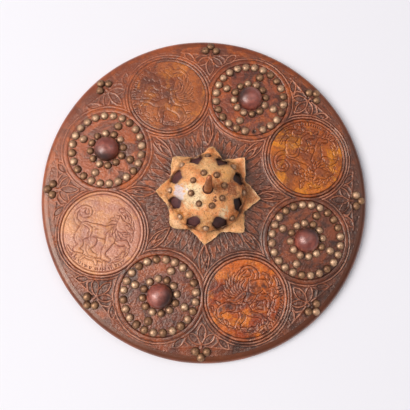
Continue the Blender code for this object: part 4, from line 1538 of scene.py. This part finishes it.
def woodFinish():
    f = Finish("old wood", 0.7)
    grain = f.noise(95, 5, 0.65, 0.5, stretch=(0.06, 1, 1))
    fine = f.noise(420, 4, 0.7, 0.2, stretch=(0.04, 1, 1))
    f.paint(1, (104, 70, 46))
    f.paint(f.attribute("plank"), (134, 94, 62))
    f.paint(f.spread(grain, 0.42, 0.62), (78, 50, 33))
    f.paint(f.spread(fine, 0.45, 0.65, 0, 0.5), (160, 120, 84))
    f.paint(f.spread(f.noise(9, 4, 0.6, 0.8), 0.48, 0.66, 0, 0.6), (66, 44, 32))
    f.paint(f.times(f.attribute("seam"), 0.85), (34, 23, 18))
    f.set("Roughness", f.spread(grain, 0.3, 0.7, 0.58, 0.8))
    first = f.bump(fine, 0.0005, 0.5)
    f.bump(grain, 0.0012, 0.6, first)
    return f.material


def strapFinish():
    f = Finish("strap leather", 0.55)
    f.paint(1, (70, 40, 26))
    f.paint(f.spread(f.noise(32, 4, 0.6), 0.36, 0.64), (104, 60, 36))
    f.paint(f.spread(f.noise(140, 4, 0.7), 0.5, 0.68, 0, 0.5), (44, 27, 20))
    f.paint(f.attribute("worn"), (146, 92, 56))
    f.set("Roughness", f.spread(f.noise(60, 3), 0.3, 0.7, 0.42, 0.62))
    pores = f.bump(f.noise(1100, 3, 0.6), 0.0003, 0.5)
    f.bump(f.noise(150, 5, 0.65, 0.8), 0.0012, 0.5, pores)
    return f.material


def strapTop(x, y, half):  # against the board at its ends, free between them
    held = backHeight(np.hypot(x, y)) - 0.3 * mm
    share = np.clip((half - strapRun["tab"] - np.abs(y)) / strapRun["slope"], 0, 1)
    return held + (strapRun["freeTop"] - held) * share**2 * (3 - 2 * share)


def makeStrap(name, setup, finish, seed):
    low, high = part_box(setup["node"])
    width, half, middle = high[0] - low[0], high[1], (low[0] + high[0]) / 2
    piece = addGrid(strapRun["columns"], strapRun["rows"], 2, 2)
    points = getPoints(piece) - [1, 1, 0]
    across, y = points[:, 0], points[:, 1] * half
    corner = setup["corner"]
    into = ramp(np.abs(y), half - corner, corner)
    wide = width / 2 - corner + corner * np.sqrt(1 - into**2)
    free = ramp(np.abs(y), half - strapRun["held"], -strapRun["loosening"])
    x = middle + across * wide * (1 - 0.05 * free) + free * wrinkles(y, 0 * y, seed, ((150 * mm, 0.7),)) * mm
    bow = (0.5 * across**2 - 0.3) * free * mm
    setPoints(piece, np.c_[x, y, strapTop(x, y, half) + bow])
    setAttribute(piece, "worn", np.clip(np.abs(across) - 0.86, 0, 1) * 5 + 0.3 * free * (1 - across**2))
    applyModifier(piece, "SOLIDIFY", thickness=setup["thickness"], offset=-1)
    points = getPoints(piece)
    count = len(points) // 2
    lower = points[count:] if points[:count, 2].mean() > points[count:, 2].mean() else points[:count]
    off = np.abs(across) * width / 2 / mm - (width / 2 / mm - strapRun["creaseIn"])
    crease = hump(off, strapRun["creaseWidth"])
    lower[:, 2] += 0.45 * mm * crease * (into < 0.2)
    setPoints(piece, points)
    applyModifier(
        piece, "BEVEL", width=strapRun["wornEdge"], segments=2, limit_method="ANGLE",
        angle_limit=math.radians(50))
    finishPiece(piece, name, finish, (setup["node"],), 60)


nail = {"roundEdge": 44, "edgeRadius": 233.0, "strapSize": (3.6, 1.7), "edgeSize": (2.9, 0.7)}  # millimetres


def makeNails():  # small iron heads in the straps' ends and round the turned-over hide
    base = halfBall(12, 8, 0.15)
    master = getPoints(base)
    f = Finish("black iron", 0.5, 0.6)
    f.paint(1, (66, 58, 54))
    f.paint(f.spread(f.noise(180, 4, 0.65), 0.42, 0.62), (112, 66, 44))
    places = []
    for setup in straps.values():
        low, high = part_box(setup["node"])
        half, middle, aside = high[1], (low[0] + high[0]) / 2, (high[0] - low[0]) / 2 - 8 * mm
        for end in (-1, 1):
            for x, y in ((-aside, 6.5), (aside, 6.5), (-aside, 19), (aside, 19)):
                at = Vector((middle + x, end * (half - y * mm), 0))
                at.z = float(strapTop(at.x, at.y, half)) - setup["thickness"] + 0.1 * mm
                places.append((at, nail["strapSize"]))
    for i in range(nail["roundEdge"]):
        turn = 360 / nail["roundEdge"] * i + 3 + dice.normal(0, 0.6)
        at = polar((nail["edgeRadius"] + dice.normal(0, 0.5)) * mm, turn)
        places.append((Vector(at + (0.75 * mm,)), nail["edgeSize"]))
    for i, (at, (radius, height)) in enumerate(places):
        points = master + dice.normal(0, 0.03, master.shape) * (master[:, 2:3] > 0.02)
        twin = copyOf(base)
        setPoints(twin, points * [radius * mm, radius * mm, height * mm])
        twin.data.transform(Matrix.Translation(at) @ Matrix.Rotation(math.pi, 4, "X"))
        finishPiece(twin, f"nail_{i + 1:02d}", f.material, (), 60)
    bpy.data.objects.remove(base)


makeBoard()
bandFinish = strapFinish()
for seed, (name, setup) in enumerate(straps.items()):
    makeStrap(name, setup, bandFinish, 70 + seed)
makeNails()
print("back made")


# floor, light and camera

lightSetup = {
    "world": (0.96, 0.96, 1.0, 1.0),
    "worldStrength": 0.22,
    "seenStrength": 0.9,  # where the world itself is seen, beyond the floor
    "key_light": {
        "turn": 190, "rise": 53, "away": 6.0, "size": 3.6, "power": 344, "colour": (1.0, 0.985, 0.98)},
    "fill_light": {
        "turn": 30, "rise": 62, "away": 3.0, "size": 1.8, "power": 11, "colour": (0.97, 0.97, 1.0)},
}
floorSetup = {"size": 16, "below": 0.2 * mm, "glowFrom": 0.7, "glowFull": 5.0, "glow": 0.66}


def makeFloor():
    deselectAll()
    bpy.ops.mesh.primitive_plane_add(size=floorSetup["size"], location=(0, 0, -floorSetup["below"]))
    floor = bpy.context.object
    floor.name = "floor"
    f = Finish("pale paper", 0.85)
    f.paint(1, (246, 244, 248))
    f.paint(f.noise(2, 2), (249, 247, 251))
    f.set("Specular IOR Level", 0.1)
    away = f.node("ShaderNodeVectorMath", operation="LENGTH")
    f.feed(away.inputs[0], f.coordinates)
    # painted light: the floor glows more the further it lies from the middle, so its far part stays pale
    f.set("Emission Strength", f.spread(
        away.outputs["Value"], floorSetup["glowFrom"], floorSetup["glowFull"], 0, floorSetup["glow"]))
    f.set("Emission Color", lightSetup["world"])
    floor.data.materials.append(f.material)


def addLight(name):
    setup = lightSetup[name]
    lamp = bpy.data.lights.new(name, "AREA")
    lamp.shape = "SQUARE"
    lamp.size = setup["size"]
    lamp.energy = setup["power"]
    lamp.color = setup["colour"]
    holder = bpy.data.objects.new(name, lamp)
    bpy.context.scene.collection.objects.link(holder)
    rise = math.radians(setup["rise"])
    toward = Vector(polar(math.cos(rise), setup["turn"]) + (math.sin(rise),))
    holder.location = toward * setup["away"]
    holder.rotation_euler = toward.to_track_quat("Z", "Y").to_euler()


def makeLight():
    world = bpy.data.worlds.new("studio")
    bpy.context.scene.world = world
    world.use_nodes = True
    tree = world.node_tree
    sky = next(n for n in tree.nodes if n.type == "BACKGROUND")
    sky.inputs["Color"].default_value = lightSetup["world"]
    rays = tree.nodes.new("ShaderNodeLightPath")
    strength = tree.nodes.new("ShaderNodeMapRange")
    strength.inputs["To Min"].default_value = lightSetup["worldStrength"]
    strength.inputs["To Max"].default_value = lightSetup["seenStrength"]
    tree.links.new(rays.outputs["Is Camera Ray"], strength.inputs["Value"])
    tree.links.new(strength.outputs[0], sky.inputs["Strength"])
    addLight("key_light")
    addLight("fill_light")
    bpy.context.scene.view_settings.view_transform = "Standard"


viewpoint = {
    "tilt": 9.16, "turn": -104.76, "roll": 2.0,  # degrees
    "away": 0.8395, "lens": 47.96, "shift": (-0.0023, -0.024),
}


def makeCamera():
    lens = bpy.data.cameras.new("camera")
    lens.lens = viewpoint["lens"]
    lens.sensor_width = 36
    lens.clip_start = 0.01
    lens.shift_x, lens.shift_y = viewpoint["shift"]
    holder = bpy.data.objects.new("camera", lens)
    bpy.context.scene.collection.objects.link(holder)
    tilt = math.radians(viewpoint["tilt"])
    toward = Vector(polar(math.sin(tilt), viewpoint["turn"]) + (math.cos(tilt),))
    swing = Vector((0, 0, 1)).rotation_difference(toward).to_matrix()
    aim = swing @ Matrix.Rotation(math.radians(viewpoint["roll"]), 3, "Z")
    holder.matrix_world = Matrix.Translation(
        toward * viewpoint["away"] + Vector((0, 0, 2 * edgeRadius))) @ aim.to_4x4()
    bpy.context.scene.camera = holder


makeFloor()
makeLight()
makeCamera()
print("all pieces made")
